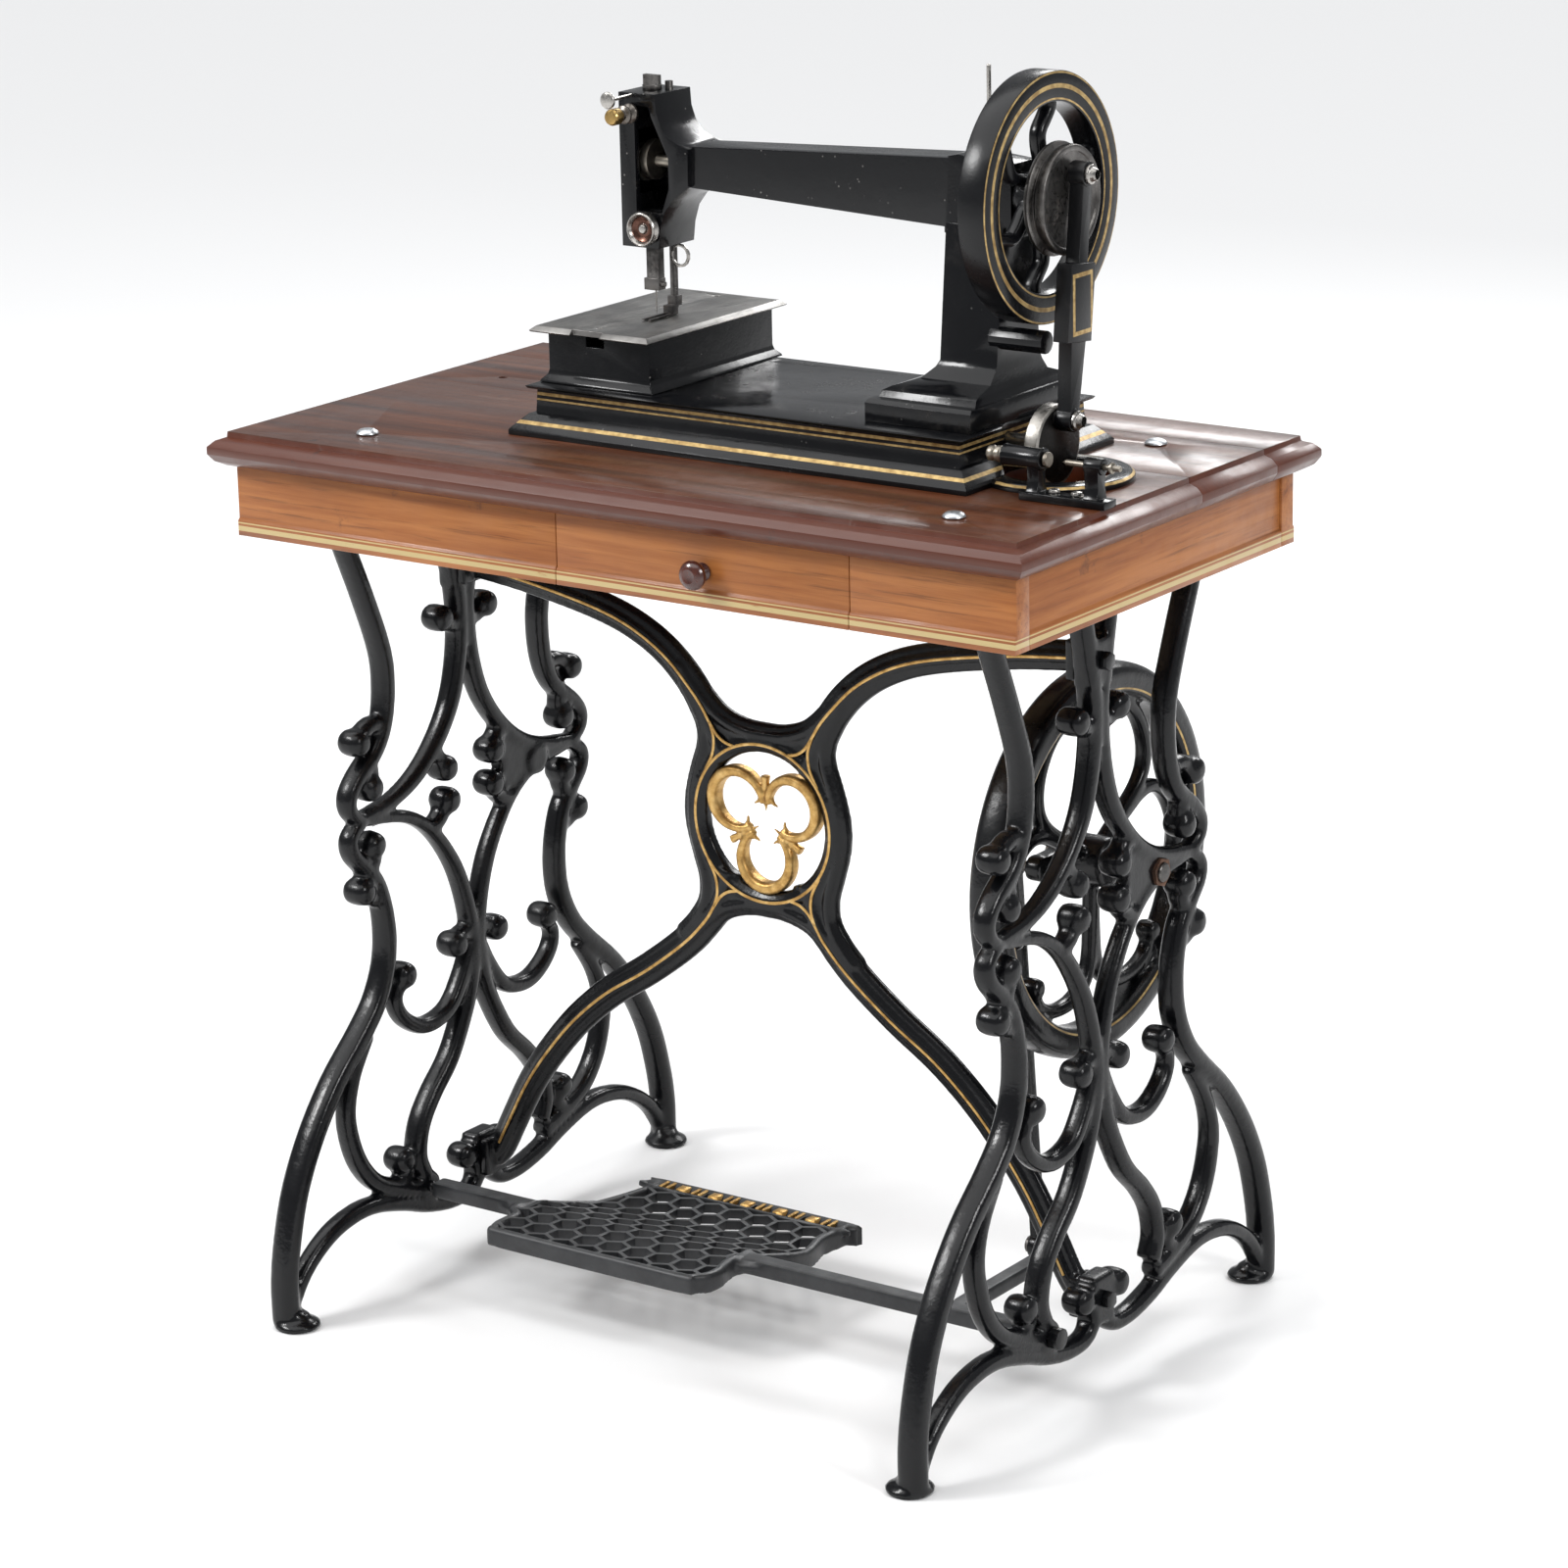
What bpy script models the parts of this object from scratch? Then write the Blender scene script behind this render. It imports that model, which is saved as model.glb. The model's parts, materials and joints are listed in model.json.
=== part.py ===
"""Treadle sewing table: walnut top with a drawer, scrolled cast-iron stand, treadle drive and machine head.

Metres, +Z up.  X runs along the table, Y from the front (-Y) to the back, and the origin is on the floor
below the middle of the stand.
"""
import math

import bpy
import bmesh
from mathutils import Matrix, Vector

for old in list(bpy.data.objects):
    bpy.data.objects.remove(old, do_unlink=True)

# ---------------------------------------------------------------- driving dimensions
GAP = 0.0003                      # clearance left between touching pieces

TOP_Z = 0.750                     # working surface
TOP_THICK = 0.028
TOP_W, TOP_D = 0.786, 0.444
BOARD_SEAMS = (0.036, 0.151)      # where the three boards of the top meet
APRON_W, APRON_D = 0.750, 0.409
APRON_Z = 0.663                   # lower edge of the apron
APRON_T = 0.018
DRAWER_X = (-0.049, 0.228)
KNOB_X, KNOB_Z = 0.0925, 0.691

FRAME_X = 0.316                   # middle plane of each scrolled side frame
BAR_W, BAR_T = 0.0118, 0.0190     # scroll bar: in the plane, and across it
PAD_IN, PAD_OUT = 0.0097, 0.0099  # frame pads, either side of the middle plane
STUD_SEAT = 0.0005                # face the stud's nut sits on, outside the middle plane
FOOT_X, FOOT_Y = 0.309, 0.2605
FOOT_R = 0.020

BRACE_BOLT_Z = (0.6055, 0.073)    # heights of the bolts that hold the cross brace
MEDAL_Z, MEDAL_R, MEDAL_HOLE = 0.4235, 0.083, 0.059     # medallion of the cross brace
BRACE_T = 0.014
LUG_X = (0.2975, FRAME_X - PAD_IN - GAP)            # ends of the brace against the frames

WHEEL_X, WHEEL_Y, WHEEL_Z = 0.257, 0.090, 0.409     # stand flywheel
WHEEL_R, WHEEL_W = 0.163, 0.032
CRANK_R = 0.042
PIVOT_Y, PIVOT_Z = -0.080, 0.068                    # treadle pivot line
ARM_END_Y = 0.080                                   # foot of the pitman rod
PITMAN_X = 0.211

SHAFT_Y, SHAFT_Z = 0.003, 0.963                     # arm shaft of the machine
HAND_R, HAND_X = 0.097, (0.2555, 0.2795)            # handwheel
LOWER_Y, LOWER_Z = -0.018, 0.7765                   # lower shaft
THROW = 0.021                                       # both cranks of the connecting rod
BASE_X, BASE_Y, BASE_TOP = (-0.173, 0.268), (-0.104, 0.110), 0.790
PLATE_Z = 0.837                                     # top of the needle plate
NEEDLE_X, NEEDLE_Y = -0.089, -0.012
HEAD_X, HEAD_Y, HEAD_Z = (-0.1145, -0.0785), (-0.021, 0.027), (0.896, 1.020)
ARM_Y = (-0.015, 0.021)
PRESSER_X, PRESSER_Y = -0.0895, 0.0135
SPOOL_X, SPOOL_Y = 0.2225, 0.003

# finish: colour, roughness, metallic
IRON = ((0.012, 0.012, 0.014), 0.28, 0.0)
WALNUT = ((0.085, 0.032, 0.018), 0.35, 0.0)
OAK = ((0.33, 0.13, 0.05), 0.42, 0.0)
DEAL = ((0.42, 0.28, 0.15), 0.65, 0.0)
NICKEL = ((0.55, 0.53, 0.50), 0.32, 1.0)
STEEL = ((0.30, 0.29, 0.28), 0.42, 1.0)
BRASS = ((0.66, 0.43, 0.17), 0.30, 1.0)
GILT = ((0.72, 0.47, 0.16), 0.38, 0.9)


# ---------------------------------------------------------------- modelling helpers
def finish(name, look):
    color, roughness, metallic = look
    mat = bpy.data.materials.new(name)
    mat.use_nodes = True
    shader = mat.node_tree.nodes["Principled BSDF"]
    shader.inputs["Base Color"].default_value = (*color, 1.0)
    shader.inputs["Roughness"].default_value = roughness
    shader.inputs["Metallic"].default_value = metallic
    return mat


def to_mesh(bm):
    bmesh.ops.recalc_face_normals(bm, faces=bm.faces)
    mesh = bpy.data.meshes.new("solid")
    bm.to_mesh(mesh)
    bm.free()
    return mesh


def node(name, mesh, look, origin=(0, 0, 0)):
    """Make the named sub-part, with its origin on its joint where it has one."""
    mesh.transform(Matrix.Translation(-Vector(origin)))
    mesh.name = name
    mesh.materials.clear()
    mesh.materials.append(finish(name, look))
    mesh.shade_smooth()
    mesh.set_sharp_from_angle(angle=math.radians(35))
    obj = bpy.data.objects.new(name, mesh)
    obj.location = origin
    bpy.context.scene.collection.objects.link(obj)
    return obj


def combine(meshes, operation="UNION"):
    """Boolean of the first mesh with all the others, read back as one mesh."""
    scene = bpy.context.scene.collection
    base = bpy.data.objects.new("work", meshes[0])
    scene.objects.link(base)
    tools = bpy.data.collections.new("tools")
    scene.children.link(tools)
    for mesh in meshes[1:]:
        tools.objects.link(bpy.data.objects.new("tool", mesh))
    boolean = base.modifiers.new("combine", "BOOLEAN")
    boolean.operation = operation
    boolean.solver = "EXACT"
    boolean.operand_type = "COLLECTION"
    boolean.collection = tools
    bpy.context.view_layer.update()
    graph = bpy.context.evaluated_depsgraph_get()
    result = bpy.data.meshes.new_from_object(base.evaluated_get(graph))
    for obj in [base, *tools.objects]:
        bpy.data.objects.remove(obj, do_unlink=True)
    bpy.data.collections.remove(tools)
    return result


def box(low, high):
    bm = bmesh.new()
    size = [b - a for a, b in zip(low, high)]
    middle = [(a + b) / 2 for a, b in zip(low, high)]
    bmesh.ops.create_cube(bm, size=1.0)
    bmesh.ops.scale(bm, vec=size, verts=bm.verts)
    bmesh.ops.translate(bm, vec=middle, verts=bm.verts)
    return to_mesh(bm)


def on_plane(axis, across, up, along):
    """Point from two coordinates in the plane that the axis is normal to, and one along it."""
    return {"X": (along, across, up), "Y": (across, along, up), "Z": (across, up, along)}[axis]


def prism(outline, axis, low, high):
    """Outline in the plane normal to the axis, pulled out from low to high."""
    bm = bmesh.new()
    face = bm.faces.new([bm.verts.new(on_plane(axis, a, b, low)) for a, b in outline])
    pulled = bmesh.ops.extrude_face_region(bm, geom=[face])["geom"]
    moved = [item for item in pulled if isinstance(item, bmesh.types.BMVert)]
    bmesh.ops.translate(bm, vec=on_plane(axis, 0, 0, high - low), verts=moved)
    return to_mesh(bm)


def turned(profile, axis, across, up, sides=24, turn=0.5):
    """Turn a profile of (radius, place along the axis); a closed ring if no radius is 0."""
    bm = bmesh.new()
    rings = []
    for radius, along in profile:
        if radius == 0:
            rings.append([bm.verts.new(on_plane(axis, across, up, along))])
            continue
        angles = [2 * math.pi * (i + turn) / sides for i in range(sides)]
        rings.append([bm.verts.new(on_plane(axis, across + radius * math.cos(a),
                                            up + radius * math.sin(a), along)) for a in angles])
    pairs = list(zip(rings, rings[1:]))
    if profile[0][0] > 0:
        pairs.append((rings[-1], rings[0]))
    for one, two in pairs:
        for i in range(sides):
            j = (i + 1) % sides
            corners = [one[i % len(one)], one[j % len(one)], two[j % len(two)], two[i % len(two)]]
            unique = list(dict.fromkeys(corners))
            if len(unique) > 2:
                bm.faces.new(unique)
    return to_mesh(bm)


def rod(radius, axis, across, up, low, high, sides=16):
    return turned([(0, low), (radius, low), (radius, high), (0, high)], axis, across, up, sides)


def sweep(points, axis, along, width, depth, taper=1.0):
    """Flat bar of rectangular section along points in the plane normal to the axis."""
    bm = bmesh.new()
    rings = []
    last = len(points) - 1
    for i, here in enumerate(points):
        before, after = Vector(points[max(i - 1, 0)]), Vector(points[min(i + 1, last)])
        side = (after - before).normalized()
        normal = Vector((-side.y, side.x)) * width / 2 * (1 + (taper - 1) * i / last)
        here = Vector(here)
        rings.append([bm.verts.new(on_plane(axis, *(here + normal * sign), along + half))
                      for sign, half in ((1, -depth / 2), (1, depth / 2), (-1, depth / 2),
                                         (-1, -depth / 2))])
    for one, two in zip(rings, rings[1:]):
        for i in range(4):
            bm.faces.new((one[i], one[i - 1], two[i - 1], two[i]))
    bm.faces.new(rings[0])
    bm.faces.new(list(reversed(rings[-1])))
    return to_mesh(bm)


def stepped_block(sections, front, back, inset_front=True, inset_back=True):
    """Stack of rectangles (x_low, x_high, inset in Y, z) joined into one moulded block."""
    bm = bmesh.new()
    rings = []
    for x_low, x_high, inset, z in sections:
        y_low = front + inset if inset_front else front
        y_high = back - inset if inset_back else back
        rings.append([bm.verts.new(p) for p in ((x_low, y_low, z), (x_high, y_low, z),
                                                (x_high, y_high, z), (x_low, y_high, z))])
    for one, two in zip(rings, rings[1:]):
        for i in range(4):
            bm.faces.new((one[i - 1], one[i], two[i], two[i - 1]))
    bm.faces.new(list(reversed(rings[0])))
    bm.faces.new(rings[-1])
    return to_mesh(bm)


def arc(cx, cy, radius, start, stop, steps):
    """Points on an arc, angles in degrees."""
    angles = [math.radians(start + (stop - start) * i / steps) for i in range(steps + 1)]
    return [(cx + radius * math.cos(a), cy + radius * math.sin(a)) for a in angles]


def milli(points, mirror=1):
    return [(mirror * a / 1000, b / 1000) for a, b in points]


def flipped(mesh):
    """Copy of a mesh mirrored in the X = 0 plane, with its faces still pointing out."""
    bm = bmesh.new()
    bm.from_mesh(mesh)
    bmesh.ops.scale(bm, vec=(-1, 1, 1), verts=bm.verts)
    bmesh.ops.reverse_faces(bm, faces=bm.faces)
    return to_mesh(bm)


# ---------------------------------------------------------------- table top, apron and drawer
BOLTS = {"top_bolt_front_left": (-0.274, -0.160), "top_bolt_front_right": (0.297, -0.165),
         "top_bolt_rear_right": (0.298, 0.124)}
SPARE_HOLE = (-0.317, 0.072)
BOLT_R = 0.004
WELL_X, WELL_Y, WELL_R = 0.294, -0.015, 0.043       # round opening that the lower crank turns in


def table_top():
    half_w, half_d = TOP_W / 2, TOP_D / 2
    low = TOP_Z - TOP_THICK
    edge = [(0.011, low), (0.004, low + 0.004), (0.0, low + 0.010), (0.0, low + 0.016),
            (0.005, low + 0.021), (0.012, low + 0.0235), (0.0125, TOP_Z)]
    sections = [(-half_w + inset, half_w - inset, inset, z) for inset, z in edge]
    limits = (-half_d, *BOARD_SEAMS, half_d)
    for i, name in enumerate(("top_board_front", "top_board_middle", "top_board_rear")):
        front = limits[i] + (GAP / 2 if i else 0)
        back = limits[i + 1] - (GAP / 2 if i < 2 else 0)
        board = stepped_block(sections, front, back, i == 0, i == 2)
        holes = [place for place in (*BOLTS.values(), SPARE_HOLE) if front < place[1] < back]
        cutters = [rod(BOLT_R, "Z", x, y, low - 0.01, TOP_Z + 0.01, 12) for x, y in holes]
        if i == 0:
            cutters.append(rod(WELL_R, "Z", WELL_X, WELL_Y, low - 0.01, TOP_Z + 0.01, 32))
        if cutters:
            board = combine([board, *cutters], "DIFFERENCE")
        node(name, board, WALNUT)


def top_bolts():
    shank = BOLT_R - GAP
    for name, (x, y) in BOLTS.items():
        foot = TOP_Z - TOP_THICK - 0.014
        dome = [(0, foot), (shank, foot), (shank, TOP_Z + GAP), (0.0095, TOP_Z + GAP),
                (0.0085, TOP_Z + 0.0025), (0.005, TOP_Z + 0.0042), (0, TOP_Z + 0.0046)]
        node(name, turned(dome, "Z", x, y, 16), NICKEL)


def apron_outline(face, inner):
    """Section of an apron board: a plain face over a narrow base moulding."""
    out = 1 if face > inner else -1
    top = TOP_Z - TOP_THICK - GAP
    return [(inner, APRON_Z), (face + out * 0.002, APRON_Z), (face + out * 0.002, APRON_Z + 0.0125),
            (face, APRON_Z + 0.0145), (face, top), (inner, top)]


def apron():
    half_w, half_d = APRON_W / 2, APRON_D / 2
    front = apron_outline(-half_d, -half_d + APRON_T)
    back = apron_outline(half_d, half_d - APRON_T)
    lip = 0.002
    node("apron_front_left", prism(front, "X", -half_w - lip, DRAWER_X[0] - 2 * GAP), OAK)
    node("apron_front_right", prism(front, "X", DRAWER_X[1] + 2 * GAP, half_w + lip), OAK)
    node("apron_rear", prism(back, "X", -half_w - lip, half_w + lip), OAK)
    side_end = half_d - APRON_T - GAP
    for name, sign in (("apron_left", -1), ("apron_right", 1)):
        outline = apron_outline(sign * half_w, sign * (half_w - APRON_T))
        node(name, prism(outline, "Y", -side_end, side_end), OAK)
    drawer_front = combine([prism(front, "X", *DRAWER_X)])
    node("drawer_front", drawer_front, OAK)


def drawer():
    face = -APRON_D / 2 + APRON_T
    low, high, back, wall = 0.6705, 0.7125, 0.100, 0.008
    x_low, x_high = DRAWER_X[0] + 0.008, DRAWER_X[1] - 0.008
    tray = box((x_low, face + GAP, low), (x_high, back, high))
    inside = box((x_low + wall, face + GAP + wall, low + 0.006), (x_high - wall, back - wall, high + 0.01))
    node("drawer_tray", combine([tray, inside], "DIFFERENCE"), DEAL)
    x, z, y = KNOB_X, KNOB_Z, -APRON_D / 2 - GAP
    knob = [(0, y), (0.0068, y), (0.0054, y - 0.003), (0.0045, y - 0.006), (0.0065, y - 0.008),
            (0.0105, y - 0.0105), (0.0118, y - 0.0140), (0.0105, y - 0.0175),
            (0.006, y - 0.0195), (0, y - 0.020)]
    node("drawer_knob", turned(knob, "Y", x, z, 20), WALNUT)
    ledge = 0.0055
    for name, wall_x, sign in (("drawer_runner_left", x_low - 0.001, 1),
                               ("drawer_runner_right", x_high + 0.001, -1)):
        outer = wall_x - sign * 0.006
        section = [(outer, APRON_Z + 0.001), (wall_x + sign * 0.014, APRON_Z + 0.001),
                   (wall_x + sign * 0.014, APRON_Z + 0.001 + ledge), (wall_x, APRON_Z + 0.001 + ledge),
                   (wall_x, TOP_Z - TOP_THICK - GAP), (outer, TOP_Z - TOP_THICK - GAP)]
        node(name, prism(section, "Y", face + GAP, -face - GAP), DEAL)


def cleats():
    """Battens below the top, which the bolts and the iron frames hold on to."""
    high = TOP_Z - TOP_THICK - GAP
    for name, sign in (("cleat_left", -1), ("cleat_right", 1)):
        low_x, high_x = sorted((sign * 0.262, sign * 0.340))
        block = box((low_x, -0.185, high - 0.018), (high_x, 0.185, high))
        holes = [rod(BOLT_R, "Z", x, y, high - 0.03, high + 0.01, 12)
                 for x, y in BOLTS.values() if x * sign > 0]
        node(name, combine([block, *holes], "DIFFERENCE"), DEAL)


# ---------------------------------------------------------------- scrolled side frames
FRAME_BARS = (      # half of the pattern, front or back of the middle, in millimetres from the floor
    ((165, 699), (152, 660), (126, 600), (108, 552), (105, 520), (110, 490), (123, 468), (147, 449),
     (158, 435), (156, 422), (146, 413)),
    ((146, 411), (158, 400), (156, 386), (143, 372), (127, 352), (118, 318), (120, 283), (134, 252),
     (156, 228), (193, 195), (224, 157), (247, 116), (260, 75), (266, 40), (266, 4)),
    ((28, 699), (22, 660), (13, 618), (6, 580), (5, 548), (10, 515), (22, 483), (44, 454), (72, 432),
     (105, 419), (148, 413)),
    ((148, 411), (104, 406), (74, 396), (48, 376), (24, 343), (10, 308), (4, 276), (5, 250), (13, 220),
     (38, 175), (66, 147), (83, 124), (89, 98), (82, 78)),
    ((98, 262), (109, 245), (101, 227), (80, 213), (58, 211), (36, 219), (18, 242), (5, 268)),
    ((146, 225), (168, 194), (178, 165), (175, 138), (164, 112), (145, 91), (118, 78), (84, 66)),
    ((265, 10), (243, 41), (212, 62), (180, 71), (148, 71), (110, 61), (80, 50), (48, 43), (22, 44),
     (9, 56), (14, 74), (26, 80)),
)
FRAME_BALLS = (     # scroll ends: place, radius
    (145, 480, 11), (131, 438, 11), (131, 388, 11), (147, 351, 11), (30, 562, 11), (28, 272, 11),
    (32, 431, 11), (30, 402, 11), (111, 101, 11), (26, 78, 11), (98, 264, 11),
)
FRAME_STUBS = (     # short necks that carry the scroll ends off the bars
    ((112, 490), (128, 492), (144, 484)), ((130, 464), (127, 452), (131, 441)),
    ((120, 340), (133, 341), (146, 348)), ((135, 363), (128, 375), (131, 386)),
    ((4, 560), (16, 554), (30, 562)), ((3, 274), (15, 279), (28, 272)),
    ((52, 447), (40, 445), (32, 431)), ((54, 382), (40, 388), (30, 402)),
    ((118, 78), (103, 88), (111, 101)),
)


FRAME_WEB = ((44, 436), (60, 437), (88, 424), (140, 413), (88, 402), (62, 392), (46, 394), (41, 415))


def frame_side(stud):
    """Right-hand frame with its pads towards the middle of the table; stud gives it a nut seat."""
    parts = []
    for mirror in (-1, 1):
        for i, points in enumerate(FRAME_BARS):
            parts.append(sweep(milli(points, mirror), "X", FRAME_X, BAR_W + 0.0004 * (i % 3),
                               BAR_T - 0.0003 * i))
        for i, points in enumerate(FRAME_STUBS):
            parts.append(sweep(milli(points, mirror), "X", FRAME_X, 0.0120 + 0.0002 * (i % 4),
                               0.0138 + 0.0001 * i))
        for i, (y, z, radius) in enumerate(FRAME_BALLS):
            half = 0.0122 + 0.0001 * i
            parts.append(rod(radius / 1000, "X", mirror * y / 1000, z / 1000, FRAME_X - half,
                             FRAME_X + half, 7))
        parts.append(rod(FOOT_R, "Z", FOOT_X, mirror * FOOT_Y, 0.0, 0.006, 16))
    parts.append(rod(0.0155, "X", WHEEL_Y, WHEEL_Z, FRAME_X - PAD_OUT, FRAME_X + 0.0085, 16))
    parts.append(prism(milli(FRAME_WEB), "X", FRAME_X - 0.0062, FRAME_X + 0.0058))
    parts.append(rod(0.0135, "X", PIVOT_Y, PIVOT_Z, FRAME_X - 0.0098, FRAME_X + 0.0098, 12))
    parts.append(box((FRAME_X - 0.0125, -0.175, 0.6945), (FRAME_X + 0.0125, 0.175, 0.7034)))
    for low, high in ((0.587, 0.624), (0.052, 0.094)):
        parts.append(box((FRAME_X - PAD_IN, -0.016, low), (FRAME_X + PAD_OUT, 0.016, high)))
    whole = combine(parts)
    holes = [rod(0.0084 if stud else 0.0045, "X", WHEEL_Y, WHEEL_Z, 0.29, 0.34, 16)]
    if stud:
        holes.append(rod(0.0145, "X", WHEEL_Y, WHEEL_Z, FRAME_X + STUD_SEAT, 0.34, 18))
    holes.append(rod(0.0053, "X", PIVOT_Y, PIVOT_Z, 0.29, 0.34, 12))
    holes += [rod(0.0043, "X", 0.0, z, 0.29, 0.34, 10) for z in BRACE_BOLT_Z]
    return combine([whole, *holes], "DIFFERENCE")


def side_frames():
    node("left_frame", flipped(frame_side(False)), IRON)
    node("right_frame", frame_side(True), IRON)


# ---------------------------------------------------------------- cross brace


def cross_brace():
    upper = ((44, 478), (54, 499), (68, 524), (86, 545), (108, 562), (134, 575), (162, 584), (200, 592),
             (250, 600), (303, 606))
    lower = ((42, 358), (60, 333), (85, 306), (125, 275), (167, 247), (203, 216), (233, 182), (256, 150),
             (276, 114), (292, 84), (303, 72))
    ring = turned([(MEDAL_HOLE, -0.0070), (MEDAL_R, -0.0070), (MEDAL_R, 0.0070), (MEDAL_HOLE, 0.0070)],
                  "Y", 0, MEDAL_Z, 32)
    parts = [ring]
    for mirror in (-1, 1):
        parts.append(sweep(milli(upper, mirror), "Y", 0, 0.029, BRACE_T - 0.0003, 0.88))
        parts.append(sweep(milli(lower, mirror), "Y", 0, 0.030, BRACE_T - 0.0005, 0.80))
        for z in BRACE_BOLT_Z:
            low, high = sorted((mirror * LUG_X[0], mirror * LUG_X[1]))
            parts.append(box((low, -0.0135, z - 0.017), (high, 0.0135, z + 0.017)))
    whole = combine(parts)
    stops = [box(*sorted_box(sign * LUG_X[1], sign * 0.35, 0.03, 0.65)) for sign in (-1, 1)]
    holes = [rod(0.0043, "X", 0.0, z, *sorted((sign * 0.290, sign * 0.330)), 10)
             for z in BRACE_BOLT_Z for sign in (-1, 1)]
    node("cross_brace", combine([whole, *stops, *holes], "DIFFERENCE"), IRON)


def sorted_box(x_one, x_two, z_low, z_high):
    low, high = sorted((x_one, x_two))
    return (low, -0.05, z_low), (high, 0.05, z_high)


def brace_trefoil():
    """Three gilt scrolls that meet at leaf tips inside the medallion."""
    parts = []
    for i, angle in enumerate((90, 210, 330)):
        spin = math.radians(angle)
        cx, cz = 0.0305 * math.cos(spin + math.pi), MEDAL_Z + 0.0305 * math.sin(spin + math.pi)
        parts.append(sweep(arc(cx, cz, 0.0225, angle + 38, angle + 322, 14), "Y", 0, 0.0075 + 0.0002 * i,
                           0.0080 + 0.0002 * i))
    for i, angle in enumerate((90, 210, 330)):
        spin = math.radians(angle)
        reach = [(r * math.cos(spin), MEDAL_Z + r * math.sin(spin)) for r in (0.030, 0.022, 0.011)]
        parts.append(sweep(reach, "Y", 0, 0.0150, 0.0070 + 0.0002 * i, 0.3))
    node("brace_trefoil", combine(parts), GILT)


def brace_bolts():
    places = (("upper", BRACE_BOLT_Z[0]), ("lower", BRACE_BOLT_Z[1]))
    for side, sign in (("left", -1), ("right", 1)):
        for level, z in places:
            seat, head, tip = (sign * v for v in (FRAME_X + PAD_OUT + GAP, FRAME_X + 0.0162, 0.2920))
            bolt = [(0, head), (0.0078, head), (0.0078, seat), (0.0040, seat), (0.0040, tip), (0, tip)]
            node(f"brace_bolt_{side}_{level}", turned(bolt, "X", 0.0, z, 6), STEEL)


# ---------------------------------------------------------------- flywheel, pitman and treadle
def polar(centre, radius, angle):
    spin = math.radians(angle)
    return centre[0] + radius * math.cos(spin), centre[1] + radius * math.sin(spin)


def flywheel():
    centre = (WHEEL_Y, WHEEL_Z)
    half = WHEEL_W / 2
    inner = WHEEL_R - 0.026
    rim = turned([(inner, WHEEL_X - 0.009), (inner + 0.006, WHEEL_X - half),
                  (WHEEL_R - 0.008, WHEEL_X - half), (WHEEL_R, WHEEL_X - 0.008),
                  (WHEEL_R, WHEEL_X + 0.008), (WHEEL_R - 0.008, WHEEL_X + half),
                  (inner + 0.006, WHEEL_X + half), (inner, WHEEL_X + 0.009)], "X", *centre, 36)
    parts = [rim]
    hub = rod(0.021, "X", *centre, WHEEL_X - 0.017, WHEEL_X + 0.021, 20)
    scroll = ((18, 0), (60, 1.5), (85, 3), (103, 8), (117, 17), (127, 28), (131, 38), (126, 46))
    for i, angle in enumerate((30, 150, 270)):
        for side in (-1, 1):
            points = [polar(centre, radius / 1000, angle + side * lean) for radius, lean in scroll]
            parts.append(sweep(points, "X", WHEEL_X, 0.0115, 0.0125 + 0.0003 * i + 0.0001 * side))
            ball = polar(centre, 0.123, angle + side * 46.5)
            parts.append(rod(0.0095, "X", *ball, WHEEL_X - 0.0105 - 0.0002 * i, WHEEL_X + 0.0105, 8))
    crank_low, crank_high = 0.2262, WHEEL_X - 0.0165
    parts.append(hub)
    parts.append(rod(0.0195, "X", *centre, crank_low, crank_high, 20))
    parts.append(rod(0.0110, "X", WHEEL_Y - CRANK_R, WHEEL_Z, crank_low + 0.0002, crank_high - 0.0002, 16))
    parts.append(box((crank_low + 0.0004, WHEEL_Y - CRANK_R, WHEEL_Z - 0.0095),
                     (crank_high - 0.0004, WHEEL_Y - 0.004, WHEEL_Z + 0.0095)))
    bore = rod(0.0084, "X", *centre, 0.20, 0.30, 20)
    node("flywheel", combine([combine(parts), bore], "DIFFERENCE"), IRON, (WHEEL_X, *centre))


def flywheel_stud():
    stud = [(0, 0.2195), (0.0120, 0.2195), (0.0120, 0.2257), (0.0080, 0.2257), (0.0080, 0.3275), (0, 0.3275)]
    node("flywheel_stud", turned(stud, "X", WHEEL_Y, WHEEL_Z, 20), STEEL)
    seat = FRAME_X + STUD_SEAT + GAP
    square = turned([(0, seat), (0.0125, seat), (0.0125, seat + 0.0085), (0, seat + 0.0085)],
                    "X", WHEEL_Y, WHEEL_Z, 6, 0.7)
    bore = rod(0.0084, "X", WHEEL_Y, WHEEL_Z, seat - 0.01, seat + 0.02)
    node("stud_nut", combine([square, bore], "DIFFERENCE"), STEEL)


def pitman():
    top, foot = (WHEEL_Y - CRANK_R, WHEEL_Z), (ARM_END_Y, PIVOT_Z)
    bar = sweep([top, foot], "X", PITMAN_X, 0.009, 0.0094)
    eyes = [rod(0.0105, "X", *place, PITMAN_X - 0.005, PITMAN_X + 0.005, 16) for place in (top, foot)]
    bores = [rod(0.0050, "X", *place, PITMAN_X - 0.02, PITMAN_X + 0.02, 12) for place in (top, foot)]
    node("pitman_rod", combine([combine([bar, *eyes]), *bores], "DIFFERENCE"), IRON, (PITMAN_X, *foot))
    shank = 0.0047
    pin = [(0, 0.2015), (0.0072, 0.2015), (0.0072, 0.2057), (shank, 0.2057), (shank, 0.2250), (0, 0.2250)]
    node("crank_pin", turned(pin, "X", *top, 12), STEEL, (PITMAN_X, *foot))
    pin = [(0, 0.2015), (0.0072, 0.2015), (0.0072, 0.2057), (shank, 0.2057), (shank, 0.2420), (0, 0.2420)]
    node("pitman_foot_pin", turned(pin, "X", *foot, 12), STEEL, (0, PIVOT_Y, PIVOT_Z))


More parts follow.
